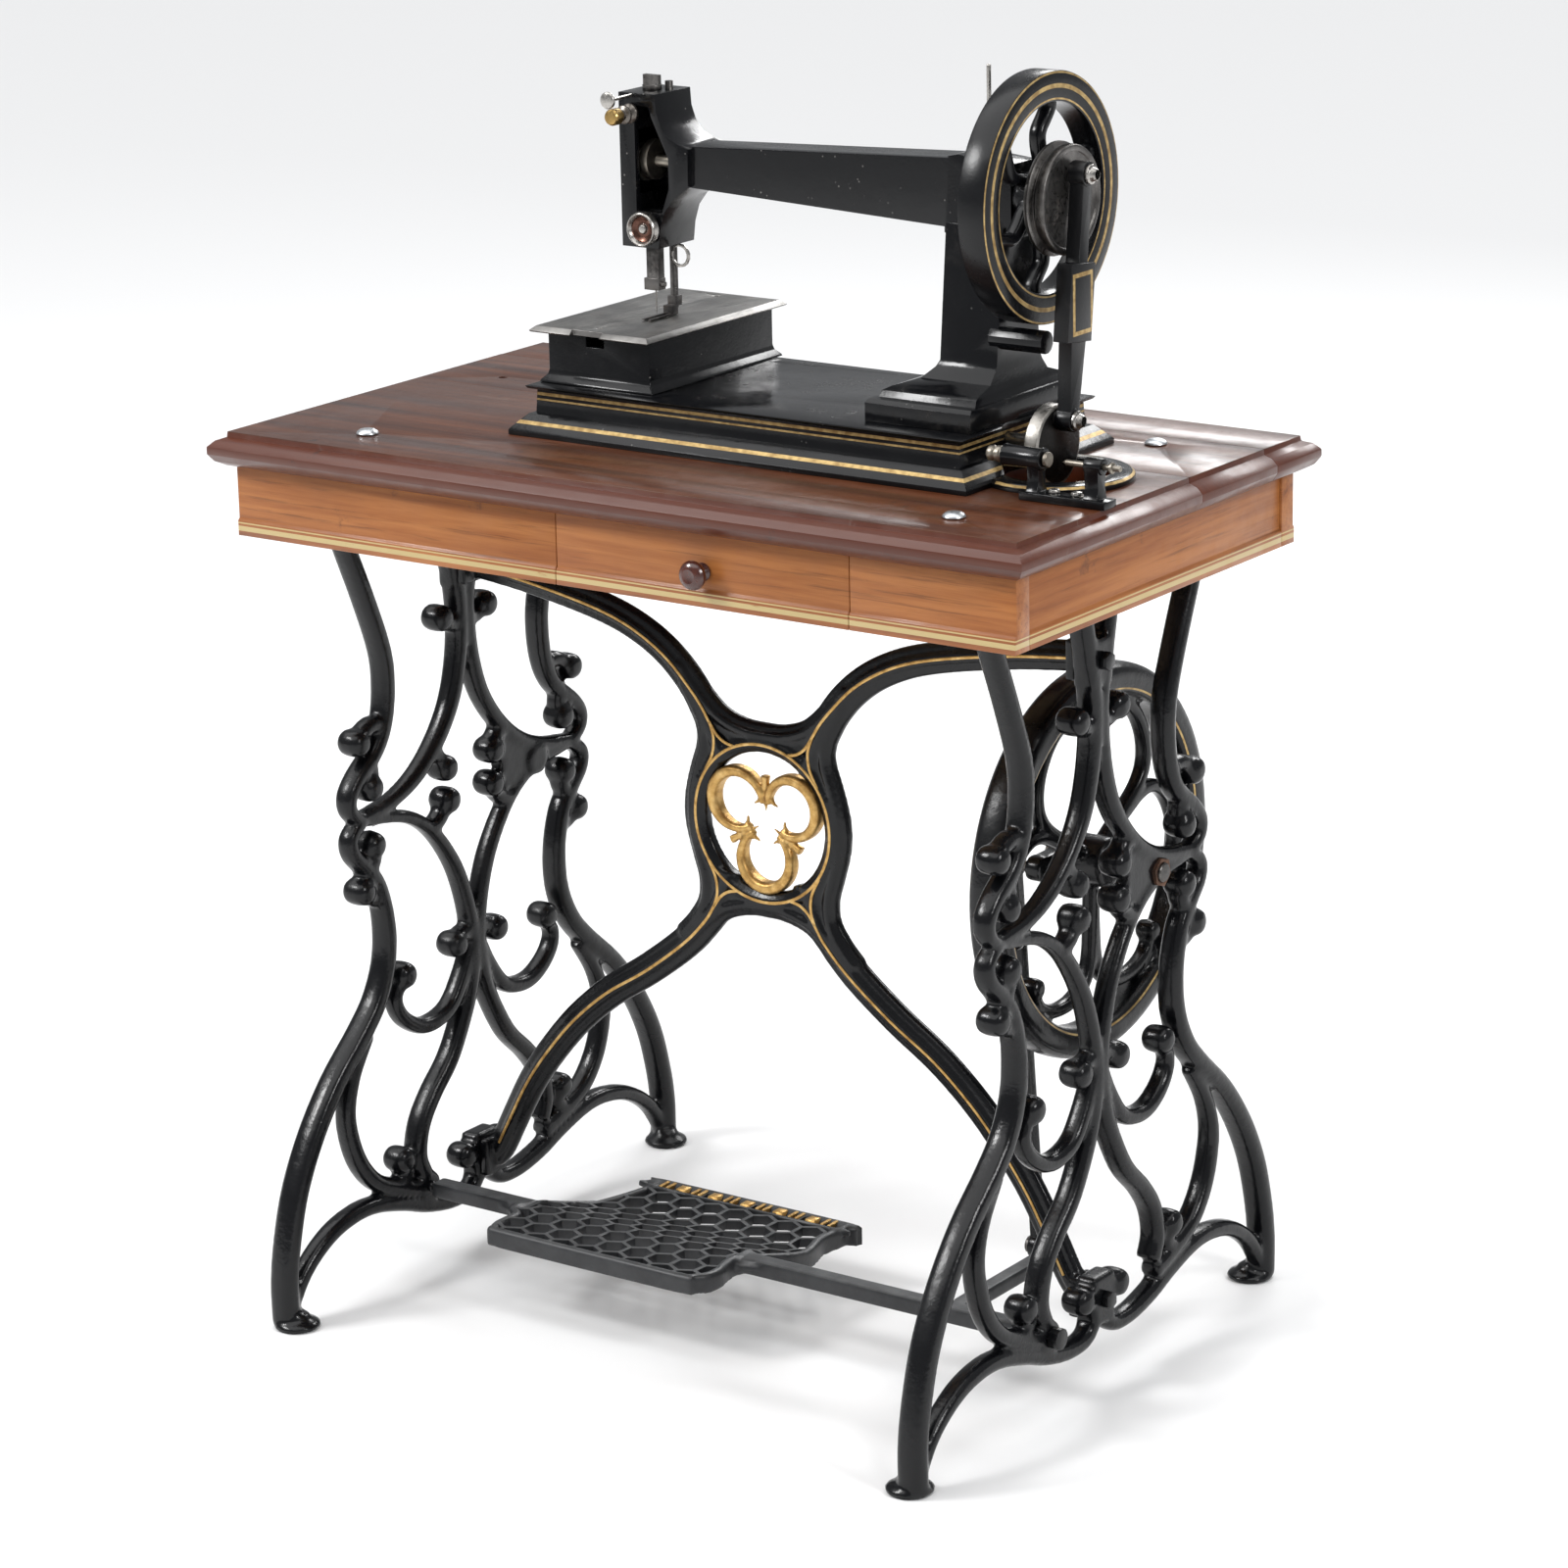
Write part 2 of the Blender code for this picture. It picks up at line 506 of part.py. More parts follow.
TREADLE_OUTLINE = (     # foot plate from above, in millimetres, narrow where it meets the bar on the right
    (-170, -157), (8, -157), (24, -152), (33, -140), (34, -122), (28, -104), (27, -84), (34, -60),
    (42, -36), (43, -14), (40, 4), (35, 22), (38, 43), (39, 55), (34, 61), (-158, 61), (-167, 55),
    (-169, 40), (-174, 18), (-183, -10), (-194, -38), (-208, -62), (-208, -98), (-196, -110),
    (-194, -135), (-187, -151))


def treadle():
    """Foot plate in two levels with a slope between them, on a square bar that rocks in the frames."""
    side = [(-0.157, 0.080), (-0.088, 0.076), (-0.012, 0.058), (0.061, 0.058), (0.061, 0.044),
            (-0.012, 0.044), (-0.088, 0.062), (-0.157, 0.063)]
    plate = combine([prism(side, "X", -0.23, 0.06), prism(milli(TREADLE_OUTLINE), "Z", 0.03, 0.10)],
                    "INTERSECT")
    bar_end = 0.3005
    bar = box((-bar_end, PIVOT_Y - 0.0085, PIVOT_Z - 0.007), (bar_end, PIVOT_Y + 0.0085, PIVOT_Z + 0.007))
    arm = [(0.2235, PIVOT_Y), (0.2375, ARM_END_Y)]
    lever = box((arm[0][0], PIVOT_Y, PIVOT_Z - 0.0060), (arm[1][0], ARM_END_Y, PIVOT_Z + 0.0065))
    eye = rod(0.0110, "X", ARM_END_Y, PIVOT_Z, arm[0][0] + 0.0002, arm[1][0] - 0.0002, 16)
    whole = combine([plate, bar, lever, eye])
    holes = [rod(0.0050, "X", ARM_END_Y, PIVOT_Z, 0.20, 0.26, 12)]
    holes += [rod(0.0044, "X", PIVOT_Y, PIVOT_Z, *sorted((sign * 0.286, sign * 0.31)), 12)
              for sign in (-1, 1)]
    node("treadle", combine([whole, *holes], "DIFFERENCE"), IRON, (0, PIVOT_Y, PIVOT_Z))
    for name, sign in (("treadle_pivot_left", -1), ("treadle_pivot_right", 1)):
        tip, shoulder, seat, head = (sign * v for v in (0.2875, 0.2965, FRAME_X + 0.0096 + GAP, 0.3345))
        pin = [(0, tip), (0.0022, tip), (0.0040, shoulder), (0.0040, 0.304 * sign), (0.0049, 0.3055 * sign),
               (0.0049, seat), (0.0090, seat), (0.0090, head), (0, head)]
        node(name, turned(pin, "X", PIVOT_Y, PIVOT_Z, 12), STEEL)


# ---------------------------------------------------------------- machine: base, block, arm and head
def machine_base():
    steps = ((0.0, TOP_Z + GAP), (0.0, 0.7540), (0.0015, 0.7560), (0.0120, 0.7665), (0.0165, 0.7672),
             (0.0175, 0.7855), (0.0120, 0.7872), (0.0105, 0.7893), (0.0125, BASE_TOP))
    sections = [(BASE_X[0] + inset, BASE_X[1] - inset, inset, z) for inset, z in steps]
    body = stepped_block(sections, *BASE_Y)
    lobe = turned([(0, TOP_Z + GAP), (0.0600, TOP_Z + GAP), (0.0600, 0.7537), (0.0570, 0.7562),
                   (0, 0.7562)], "Z", WELL_X, WELL_Y, 32)
    well = rod(WELL_R, "Z", WELL_X, WELL_Y, 0.74, 0.80, 32)
    inside = stepped_block([(BASE_X[0] + 0.026, BASE_X[1] - 0.030, 0.026, TOP_Z - 0.01),
                            (BASE_X[0] + 0.026, BASE_X[1] - 0.030, 0.026, BASE_TOP - 0.006)], *BASE_Y)
    window = box((-0.138, -0.045, 0.77), (-0.066, 0.075, 0.80))
    bearing = rod(0.0064, "X", LOWER_Y, LOWER_Z, 0.20, 0.30, 16)
    whole = combine([body, lobe])
    node("machine_base", combine([whole, well, inside, window, bearing], "DIFFERENCE"), IRON)


def bed_block():
    low, high = BASE_TOP + GAP, PLATE_Z - 0.005 - GAP
    x_low, x_high, front, back = -0.154, -0.053, -0.072, 0.098
    sections = [(x_low - 0.006, x_high + 0.006, -0.006, low),
                (x_low - 0.005, x_high + 0.005, -0.005, low + 0.002),
                (x_low - 0.001, x_high + 0.001, -0.001, low + 0.006), (x_low, x_high, 0, low + 0.010),
                (x_low, x_high, 0, high)]
    shell = stepped_block(sections, front, back)
    inside = box((x_low + 0.008, front + 0.008, low - 0.01), (x_high - 0.008, back - 0.008, high + 0.01))
    notch = box((-0.116, front - 0.01, high - 0.010), (-0.098, front + 0.02, high + 0.01))
    node("bed_block", combine([shell, inside, notch], "DIFFERENCE"), IRON)


def needle_plate():
    x_low, x_high, front, back = -0.163, -0.044, -0.086, 0.107
    low, high = PLATE_Z - 0.005, PLATE_Z
    sections = [(x_low + 0.0010, x_high - 0.0010, 0.0010, low), (x_low, x_high, 0, low + 0.0012),
                (x_low + 0.0045, x_high - 0.0045, 0.0045, high)]
    plate = stepped_block(sections, front, back)
    slot = box((NEEDLE_X - 0.003, NEEDLE_Y - 0.012, low - 0.01),
               (NEEDLE_X + 0.003, NEEDLE_Y + 0.012, high + 0.01))
    notch = box((-0.122, front - 0.01, low - 0.01), (-0.092, front + 0.006, high + 0.01))
    screws = [rod(0.0026, "Z", x, y, low - 0.01, high + 0.01, 10)
              for x, y in ((-0.103, 0.090), (-0.104, -0.068))]
    node("needle_plate", combine([plate, slot, notch, *screws], "DIFFERENCE"), STEEL)


def machine_arm():
    """One casting: stepped foot, tapered column, long arm and open-fronted head."""
    foot = stepped_block([(0.154, 0.2515, 0.0, BASE_TOP + GAP), (0.154, 0.2515, 0.0, 0.8050),
                          (0.156, 0.2505, 0.003, 0.8080), (0.161, 0.2495, 0.010, 0.8085),
                          (0.162, 0.2490, 0.012, 0.8135), (0.168, 0.2485, 0.018, 0.8165),
                          (0.184, 0.2480, 0.034, 0.8215), (0.193, 0.2475, 0.041, 0.8300),
                          (0.1953, 0.2475, 0.044, 0.8350), (0.1953, 0.2475, 0.0545, 0.9400)], -0.072, 0.078)
    arm_side = [(-0.062, 0.9475), (0.192, 0.9365), (0.192, 0.9320), (0.203, 0.9300), (0.250, 0.9300),
                (0.2530, 0.9380), (0.2530, 0.9890), (0.205, 0.9935), (0.196, 0.9915), (0.196, 0.9900),
                (-0.062, 0.9795)]
    arm = prism(arm_side, "Y", ARM_Y[0] + 0.0002, ARM_Y[1])
    x_low, x_high = HEAD_X
    z_low, z_high = HEAD_Z
    flare = [(x_low, z_low), (x_high, z_low), (-0.0765, 0.912), (-0.0720, 0.926), (-0.0640, 0.936),
             (-0.0510, 0.9455), (-0.0480, 0.9480), (-0.0475, 0.9785), (-0.0560, 0.9815), (-0.0660, 0.9860),
             (-0.0735, 0.9950), (-0.0775, 1.006), (x_high, z_high), (x_low, z_high)]
    head = prism(flare, "Y", *HEAD_Y)
    guide = rod(0.0090, "X", -0.020, 0.8560, 0.2400, 0.2880, 12)
    crown = rod(0.0160, "X", SHAFT_Y, SHAFT_Z, 0.2400, 0.2545, 20)
    whole = combine([foot, arm, head, guide, crown])
    opening = [(-0.0995, 1.010), (-0.0995, 0.925), (-0.0745, 0.925), (-0.0670, 0.945), (-0.0670, 0.970),
               (-0.0735, 0.983), (-0.0820, 1.000), (-0.0860, 1.010)]
    pocket = prism(opening, "Y", HEAD_Y[0] - 0.01, 0.0215)
    behind = box((-0.1120, -0.0155, 0.938), (-0.0900, 0.0213, 0.990))
    bar_way = box((NEEDLE_X - 0.0062, NEEDLE_Y - 0.0046, 0.88),
                  (NEEDLE_X + 0.0062, NEEDLE_Y + 0.0046, 0.985))
    foot_way = rod(0.0036, "Z", PRESSER_X, PRESSER_Y, 0.88, 1.035, 12)
    shaft_way = rod(0.0054, "X", SHAFT_Y, SHAFT_Z, -0.10, 0.27, 16)
    spool_way = rod(0.0023, "Z", SPOOL_X, SPOOL_Y, 0.980, 1.0, 8)
    node("machine_arm", combine([whole, pocket, behind, bar_way, foot_way, shaft_way, spool_way],
                                "DIFFERENCE"), IRON)


def head_fittings():
    front = HEAD_Y[0]
    x, z = -0.0885, 0.9125
    cup = [(0, front - GAP), (0.0100, front - GAP), (0.0120, front - 0.003), (0.0139, front - 0.004),
           (0.0139, front - 0.011), (0.0122, front - 0.0115), (0.0100, front - 0.0070),
           (0.0040, front - 0.0060), (0.0030, front - 0.0080), (0, front - 0.0085)]
    node("cup_disc", turned(cup, "Y", x, z, 20), NICKEL, (x, front, z))
    x, z = -0.1013, 1.0040
    stack = [(0, front - GAP), (0.0060, front - GAP), (0.0080, front - 0.002), (0.0080, front - 0.0050),
             (0.0040, front - 0.0070), (0.0035, front - 0.0180), (0.0066, front - 0.0190),
             (0.0066, front - 0.0280), (0.0050, front - 0.0295), (0, front - 0.0295)]
    node("tension_knob", turned(stack, "Y", x, z, 16), BRASS, (x, front, z))
    z = 1.0181
    wheel = [(0, front - GAP), (0.0016, front - GAP), (0.0016, front - 0.0300), (0.0068, front - 0.0305),
             (0.0068, front - 0.0330), (0, front - 0.0345)]
    node("thumb_wheel", turned(wheel, "Y", x, z, 16), NICKEL, (x, front, z))
    x, y, top = -0.0985, 0.003, HEAD_Z[1] + GAP
    screw = combine([rod(0.0080, "Z", x, y, top, top + 0.0035, 16),
                     box((x - 0.0075, y - 0.0022, top + 0.002), (x + 0.0075, y + 0.0022, top + 0.0115))])
    node("top_screw", screw, NICKEL, (x, y, top))
    hook = arc(-0.0700, 0.8890, 0.0085, 120, -200, 12)
    ring = sweep(hook, "Y", -0.0040, 0.0022, 0.0022)
    stem = rod(0.0013, "Z", hook[0][0], -0.0040, hook[0][1] - 0.001, 0.8957, 6)
    node("thread_hook", combine([ring, stem]), NICKEL)
    pin = [(0, SHAFT_Z + 0.022), (0.0018, SHAFT_Z + 0.022), (0.0018, 1.0610), (0.0010, 1.0620), (0, 1.0620)]
    node("spool_pin", turned(pin, "Z", SPOOL_X, SPOOL_Y, 8), NICKEL)


def needle_and_presser():
    x, y, half = NEEDLE_X, NEEDLE_Y, 0.0042
    bar = box((x - 0.0058, y - half, 0.8660), (x + 0.0058, y + half, 0.9220))
    clamp = box((x - 0.0082, y - 0.0048, 0.8610), (x + 0.0064, y + 0.0046, 0.8705))
    screw = rod(0.0024, "X", y, 0.8658, x + 0.0050, x + 0.0095, 8)
    grip = combine([bar, clamp, screw])
    socket = rod(0.0011, "Z", x, y, 0.85, 0.8680, 8)
    node("needle_bar", combine([grip, socket], "DIFFERENCE"), STEEL, (x, y, 0.866))
    needle = [(0, PLATE_Z + 0.004), (0.0003, PLATE_Z + 0.005), (0.0007, PLATE_Z + 0.010), (0.0007, 0.8670),
              (0, 0.8670)]
    node("needle", turned(needle, "Z", x, y, 8), NICKEL, (x, y, 0.866))
    x, y = PRESSER_X, PRESSER_Y
    post = rod(0.0033, "Z", x, y, 0.8420, 1.0260, 12)
    heel = box((x - 0.0042, y - 0.0040, 0.8440), (x + 0.0042, y + 0.0042, 0.8520))
    toe_low, toe_high = PLATE_Z + 0.0006, PLATE_Z + 0.0020
    toes = [box((NEEDLE_X + side - 0.0012, -0.026, toe_low), (NEEDLE_X + side + 0.0012, 0.004, toe_high))
            for side in (-0.0032, 0.0032)]
    bridge = box((NEEDLE_X - 0.0044, 0.0030, toe_low + 0.0001), (NEEDLE_X + 0.0044, 0.0112, 0.8450))
    node("presser_bar", combine([post, heel, bridge, *toes]), STEEL, (x, y, 0.845))


# ---------------------------------------------------------------- machine: shafts, cranks and rod
def arm_shaft():
    shaft = rod(0.0050, "X", SHAFT_Y, SHAFT_Z, -0.1100, 0.2890, 16)
    cam = rod(0.0155, "X", SHAFT_Y, SHAFT_Z - 0.002, -0.1112, -0.1040, 20)
    disc = rod(0.0165, "X", SHAFT_Y, SHAFT_Z + 0.001, -0.1010, -0.0940, 20)
    node("arm_shaft", combine([shaft, cam, disc]), STEEL, (0, SHAFT_Y, SHAFT_Z))


def handwheel():
    centre = (SHAFT_Y, SHAFT_Z)
    low, high = HAND_X
    middle = (low + high) / 2
    inner = HAND_R - 0.024
    rim = turned([(inner, low + 0.002), (inner + 0.002, low), (HAND_R - 0.0012, low), (HAND_R, low + 0.0012),
                  (HAND_R, high - 0.0012), (HAND_R - 0.0012, high), (inner + 0.0015, high),
                  (inner, high - 0.0015)], "X", *centre, 40)
    parts = [rim]
    bend = ((14, -14), (26, -6), (38, 2), (50, 2), (60, -6), (68, -10), (75, -9))
    for i in range(6):
        points = [polar(centre, radius / 1000, 90 + 60 * i + lean) for radius, lean in bend]
        parts.append(sweep(points, "X", middle, 0.0095, 0.0118 + 0.0002 * i))
    parts.append(rod(0.0195, "X", *centre, low, high - 0.0002, 20))
    bore = rod(0.0054, "X", *centre, 0.24, 0.30, 16)
    node("handwheel", combine([combine(parts), bore], "DIFFERENCE"), IRON, (middle, *centre))


def crank_disc():
    low = HAND_X[1] + GAP
    pulley = [(0, 0.2895), (0.0054, 0.2895), (0.0054, low), (0.0420, low), (0.0440, low + 0.001),
              (0.0440, low + 0.004), (0.0385, low + 0.0065), (0.0385, low + 0.0080), (0.0425, low + 0.0105),
              (0.0425, 0.2955), (0.0410, 0.2970), (0.0385, 0.2970), (0.0370, 0.2955), (0, 0.2955)]
    disc = turned(pulley, "X", SHAFT_Y, SHAFT_Z, 32)
    seat = rod(0.0085, "X", SHAFT_Y, SHAFT_Z + THROW, 0.2940, 0.2982, 14)
    pin = rod(0.0036, "X", SHAFT_Y, SHAFT_Z + THROW, 0.2940, 0.3160, 12)
    node("crank_disc", combine([disc, seat, pin]), STEEL, (0.29, SHAFT_Y, SHAFT_Z))


def crank_nuts():
    for name, y, z, origin in (("upper_crank_nut", SHAFT_Y, SHAFT_Z + THROW, (0.29, SHAFT_Y, SHAFT_Z)),
                               ("lower_crank_nut", LOWER_Y, LOWER_Z + THROW, (0.29, LOWER_Y, LOWER_Z))):
        nut = [(0.0039, 0.3125), (0.0078, 0.3125), (0.0078, 0.3150), (0.0058, 0.3155), (0.0050, 0.3185),
               (0.0039, 0.3200)]
        node(name, turned(nut, "X", y, z, 12), NICKEL, origin)


def connecting_rod():
    top, foot = Vector((SHAFT_Y, SHAFT_Z + THROW)), Vector((LOWER_Y, LOWER_Z + THROW))
    low, high = 0.2986, 0.3120

    def at(share):
        return tuple(top.lerp(foot, share))

    neck = sweep([at(0.0), at(0.42)], "X", (low + high) / 2, 0.0125, high - low - 0.0012)
    block = sweep([at(0.36), at(0.40), at(0.64), at(0.68)], "X", (low + high) / 2, 0.0340, high - low)
    tail = sweep([at(0.62), at(1.0)], "X", (low + high) / 2, 0.0220, high - low - 0.0016, 0.55)
    eyes = [rod(0.0098, "X", *top, low, high + 0.0002, 16), rod(0.0092, "X", *foot, low, high + 0.0002, 16)]
    shape = combine([neck, block, tail, *eyes])
    bores = [rod(0.0039, "X", *place, 0.28, 0.33, 12) for place in (top, foot)]
    node("connecting_rod", combine([shape, *bores], "DIFFERENCE"), IRON, (0.305, *top))


def lower_shaft():
    disc = [(0, -0.1120), (0.0180, -0.1120), (0.0180, -0.1010), (0.0130, -0.1003), (0.0055, -0.1000),
            (0.0055, 0.2845), (0.0300, 0.2845), (0.0320, 0.2855), (0.0320, 0.2960), (0.0300, 0.2970),
            (0, 0.2970)]
    body = turned(disc, "X", LOWER_Y, LOWER_Z, 28)
    seat = rod(0.0085, "X", LOWER_Y, LOWER_Z + THROW, 0.2940, 0.2982, 14)
    pin = rod(0.0036, "X", LOWER_Y, LOWER_Z + THROW, 0.2940, 0.3160, 12)
    node("lower_crank", combine([body, seat, pin]), STEEL, (0.29, LOWER_Y, LOWER_Z))


# ---------------------------------------------------------------- bobbin winder
def bobbin_winder():
    y, z = -0.082, 0.781
    floor = TOP_Z + GAP
    sole = box((0.308, y - 0.011, floor), (0.384, y + 0.0062, floor + 0.006))
    parts = [sole]
    for x, width in ((0.3170, 0.010), (0.3690, 0.012)):
        post = [(y - 0.0085, floor + 0.002), (y + 0.0085, floor + 0.002), (y + 0.0050, floor + 0.014),
                (y + 0.0062, z), (y - 0.0062, z), (y - 0.0050, floor + 0.014)]
        parts.append(prism(post, "X", x - width / 2, x + width / 2))
    parts.append(rod(0.0066, "X", y, z, 0.3100, 0.3245, 14))
    parts.append(rod(0.0064, "X", y, z, 0.3620, 0.3770, 14))
    bores = [rod(0.0035, "X", y, z, 0.30, 0.34, 10), rod(0.0028, "X", y, z, 0.35, 0.39, 10)]
    node("winder_bracket", combine([combine(parts), *bores], "DIFFERENCE"), IRON)
    spindle = [(0, 0.2745), (0.0050, 0.2745), (0.0060, 0.2765), (0.0060, 0.2800), (0.0045, 0.2815),
               (0.0064, 0.2830), (0.0064, 0.2860), (0.0054, 0.2870), (0.0054, 0.3085), (0.0031, 0.3095),
               (0.0031, 0.3255), (0.0060, 0.3255), (0.0060, 0.3290), (0, 0.3290)]
    node("winder_spindle", turned(spindle, "X", y, z, 14), NICKEL, (0.30, y, z))
    centre = [(0, 0.3400), (0.0012, 0.3430), (0.0023, 0.3440), (0.0023, 0.3830), (0.0045, 0.3832),
              (0.0045, 0.3850), (0.0023, 0.3855), (0.0023, 0.3920), (0, 0.3920)]
    node("winder_centre", turned(centre, "X", y, z, 10), NICKEL, (0.36, y, z))
    for i, x in enumerate((0.3330, 0.3530)):
        screw = [(0, floor + 0.0064), (0.0048, floor + 0.0064), (0.0042, floor + 0.0088),
                 (0, floor + 0.0095)]
        node(f"winder_screw_{i + 1}", turned(screw, "Z", x, y, 10), STEEL)


def main():
    table_top()
    top_bolts()
    apron()
    drawer()
    cleats()
    side_frames()
    cross_brace()
    brace_trefoil()
    brace_bolts()
    flywheel()
    flywheel_stud()
    pitman()
    treadle()
    machine_base()
    bed_block()
    needle_plate()
    machine_arm()
    head_fittings()
    needle_and_presser()
    arm_shaft()
    handwheel()
    crank_disc()
    crank_nuts()
    connecting_rod()
    lower_shaft()
    bobbin_winder()


main()
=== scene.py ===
import json
import math
import bpy
import bmesh
from mathutils import Matrix, Vector

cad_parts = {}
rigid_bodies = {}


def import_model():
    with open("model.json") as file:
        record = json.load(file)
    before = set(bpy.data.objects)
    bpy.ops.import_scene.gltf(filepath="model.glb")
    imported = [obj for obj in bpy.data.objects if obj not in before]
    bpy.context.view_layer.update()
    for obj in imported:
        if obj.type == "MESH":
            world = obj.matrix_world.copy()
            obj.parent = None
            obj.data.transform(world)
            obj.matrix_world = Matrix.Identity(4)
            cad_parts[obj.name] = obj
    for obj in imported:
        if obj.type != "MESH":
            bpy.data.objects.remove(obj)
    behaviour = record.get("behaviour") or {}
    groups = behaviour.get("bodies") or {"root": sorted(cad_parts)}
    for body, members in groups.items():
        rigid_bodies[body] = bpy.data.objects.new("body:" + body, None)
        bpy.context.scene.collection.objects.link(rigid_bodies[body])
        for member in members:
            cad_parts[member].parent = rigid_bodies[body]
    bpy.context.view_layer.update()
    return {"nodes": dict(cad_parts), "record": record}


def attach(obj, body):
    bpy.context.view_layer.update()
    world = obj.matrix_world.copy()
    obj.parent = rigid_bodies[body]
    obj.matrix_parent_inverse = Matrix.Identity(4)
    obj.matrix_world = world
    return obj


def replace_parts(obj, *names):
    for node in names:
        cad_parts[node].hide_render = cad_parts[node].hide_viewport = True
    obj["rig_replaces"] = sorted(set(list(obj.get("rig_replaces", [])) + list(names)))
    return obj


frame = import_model()
bodies = frame["record"]["behaviour"]["bodies"]
bodyFor = {nodeName: body for body, names in bodies.items() for nodeName in names}
slotFor = {row["node"]: row["material_slot"] for row in frame["record"]["subparts"]}
scene = bpy.context.scene
print("frame loaded:", len(bodyFor), "nodes")


# shader maths: a Sock wraps one socket, and arithmetic on it adds Math nodes
class Sock:
    def __init__(self, tree, socket):
        self.tree, self.socket = tree, socket

    def calc(self, operation, *values):
        made = self.tree.nodes.new("ShaderNodeMath")
        made.operation = operation
        for place, value in zip(made.inputs, values):
            plug(self.tree, place, value)
        return Sock(self.tree, made.outputs[0])

    def __add__(self, other): return self.calc("ADD", self, other)
    def __radd__(self, other): return self.calc("ADD", other, self)
    def __sub__(self, other): return self.calc("SUBTRACT", self, other)
    def __rsub__(self, other): return self.calc("SUBTRACT", other, self)
    def __mul__(self, other): return self.calc("MULTIPLY", self, other)
    def __rmul__(self, other): return self.calc("MULTIPLY", other, self)
    def __truediv__(self, other): return self.calc("DIVIDE", self, other)
    def __gt__(self, other): return self.calc("GREATER_THAN", self, other)
    def __lt__(self, other): return self.calc("LESS_THAN", self, other)
    def __abs__(self): return self.calc("ABSOLUTE", self)

    def most(self, other): return self.calc("MAXIMUM", self, other)
    def root(self): return self.calc("SQRT", self)

    def step(self, low, high):
        # 0 below low, 1 above high, smooth between
        made = self.tree.nodes.new("ShaderNodeMapRange")
        made.interpolation_type = "SMOOTHSTEP"
        for place, value in zip(made.inputs, (self, low, high, 0.0, 1.0)):
            plug(self.tree, place, value)
        return Sock(self.tree, made.outputs[0])


def plug(tree, place, value):
    if isinstance(value, Sock):
        tree.links.new(value.socket, place)
    elif isinstance(value, (tuple, list)):
        place.default_value = (*value, 1.0) if len(value) < len(place.default_value) else value
    else:
        place.default_value = value


class Finish:
    # one material, with the object's own coordinates at hand
    def __init__(self, name, roughness=0.4, metallic=0.0, **fixed):
        self.material = bpy.data.materials.new(name)
        self.material.use_nodes = True
        self.tree = self.material.node_tree
        self.shader = self.tree.nodes["Principled BSDF"]
        self.set("Roughness", roughness)
        self.set("Metallic", metallic)
        for key, value in fixed.items():
            self.set(key.replace("_", " "), value)
        self.place = self.add("ShaderNodeTexCoord", out="Object")
        split = self.tree.nodes.new("ShaderNodeSeparateXYZ")
        plug(self.tree, split.inputs[0], self.place)
        self.x, self.y, self.z = (Sock(self.tree, out) for out in split.outputs)

    def add(self, kind, settings=None, inputs=None, out=0):
        made = self.tree.nodes.new(kind)
        for key, value in (settings or {}).items():
            if key == "stops":
                ramp = made.color_ramp.elements
                while len(ramp) < len(value):
                    ramp.new(0.5)
                for stop, (where, color) in zip(ramp, value):
                    stop.position = where
                    stop.color = (*color, 1.0)
            else:
                setattr(made, key, value)
        for key, value in (inputs or {}).items():
            plug(self.tree, made.inputs[key], value)
        return Sock(self.tree, made.outputs[out])

    def set(self, name, value):
        plug(self.tree, self.shader.inputs[name], value)

    def stretched(self, scale, turn=(0, 0, 0)):
        return self.add("ShaderNodeMapping", {}, {"Vector": self.place, "Scale": scale, "Rotation": turn})

    def noise(self, scale, detail=3.0, rough=0.55, vector=None, distort=0.0):
        return self.add("ShaderNodeTexNoise", {}, {
            "Vector": vector or self.place, "Scale": scale, "Detail": detail, "Roughness": rough,
            "Distortion": distort})

    def cells(self, scale, vector=None):
        return self.add("ShaderNodeTexVoronoi", {}, {"Vector": vector or self.place, "Scale": scale})

    def blend(self, amount, one, two):
        return self.add("ShaderNodeMix", {"data_type": "RGBA"}, {0: amount, 6: one, 7: two}, 2)

    def ramp(self, value, stops):
        return self.add("ShaderNodeValToRGB", {"stops": stops}, {0: value})

    def edges(self):
        # brighter on outer edges, darker in hollows
        return self.add("ShaderNodeNewGeometry", out="Pointiness")

    def upward(self):
        normal = self.add("ShaderNodeNewGeometry", out="Normal")
        return self.add("ShaderNodeSeparateXYZ", {}, {0: normal}, 2)

    def bump(self, height, strength, distance=0.001):
        lumps = self.add("ShaderNodeBump", {}, {"Height": height, "Strength": strength, "Distance": distance})
        self.set("Normal", lumps)

    def band(self, value, low, high, soft=0.00012):
        return value.step(low - soft, low + soft) * (1.0 - value.step(high - soft, high + soft))


gold = {"light": (0.56, 0.40, 0.17), "dark": (0.30, 0.19, 0.07), "rough": 0.42}
iron = {"black": (0.0032, 0.0034, 0.0042), "worn": (0.022, 0.019, 0.017)}


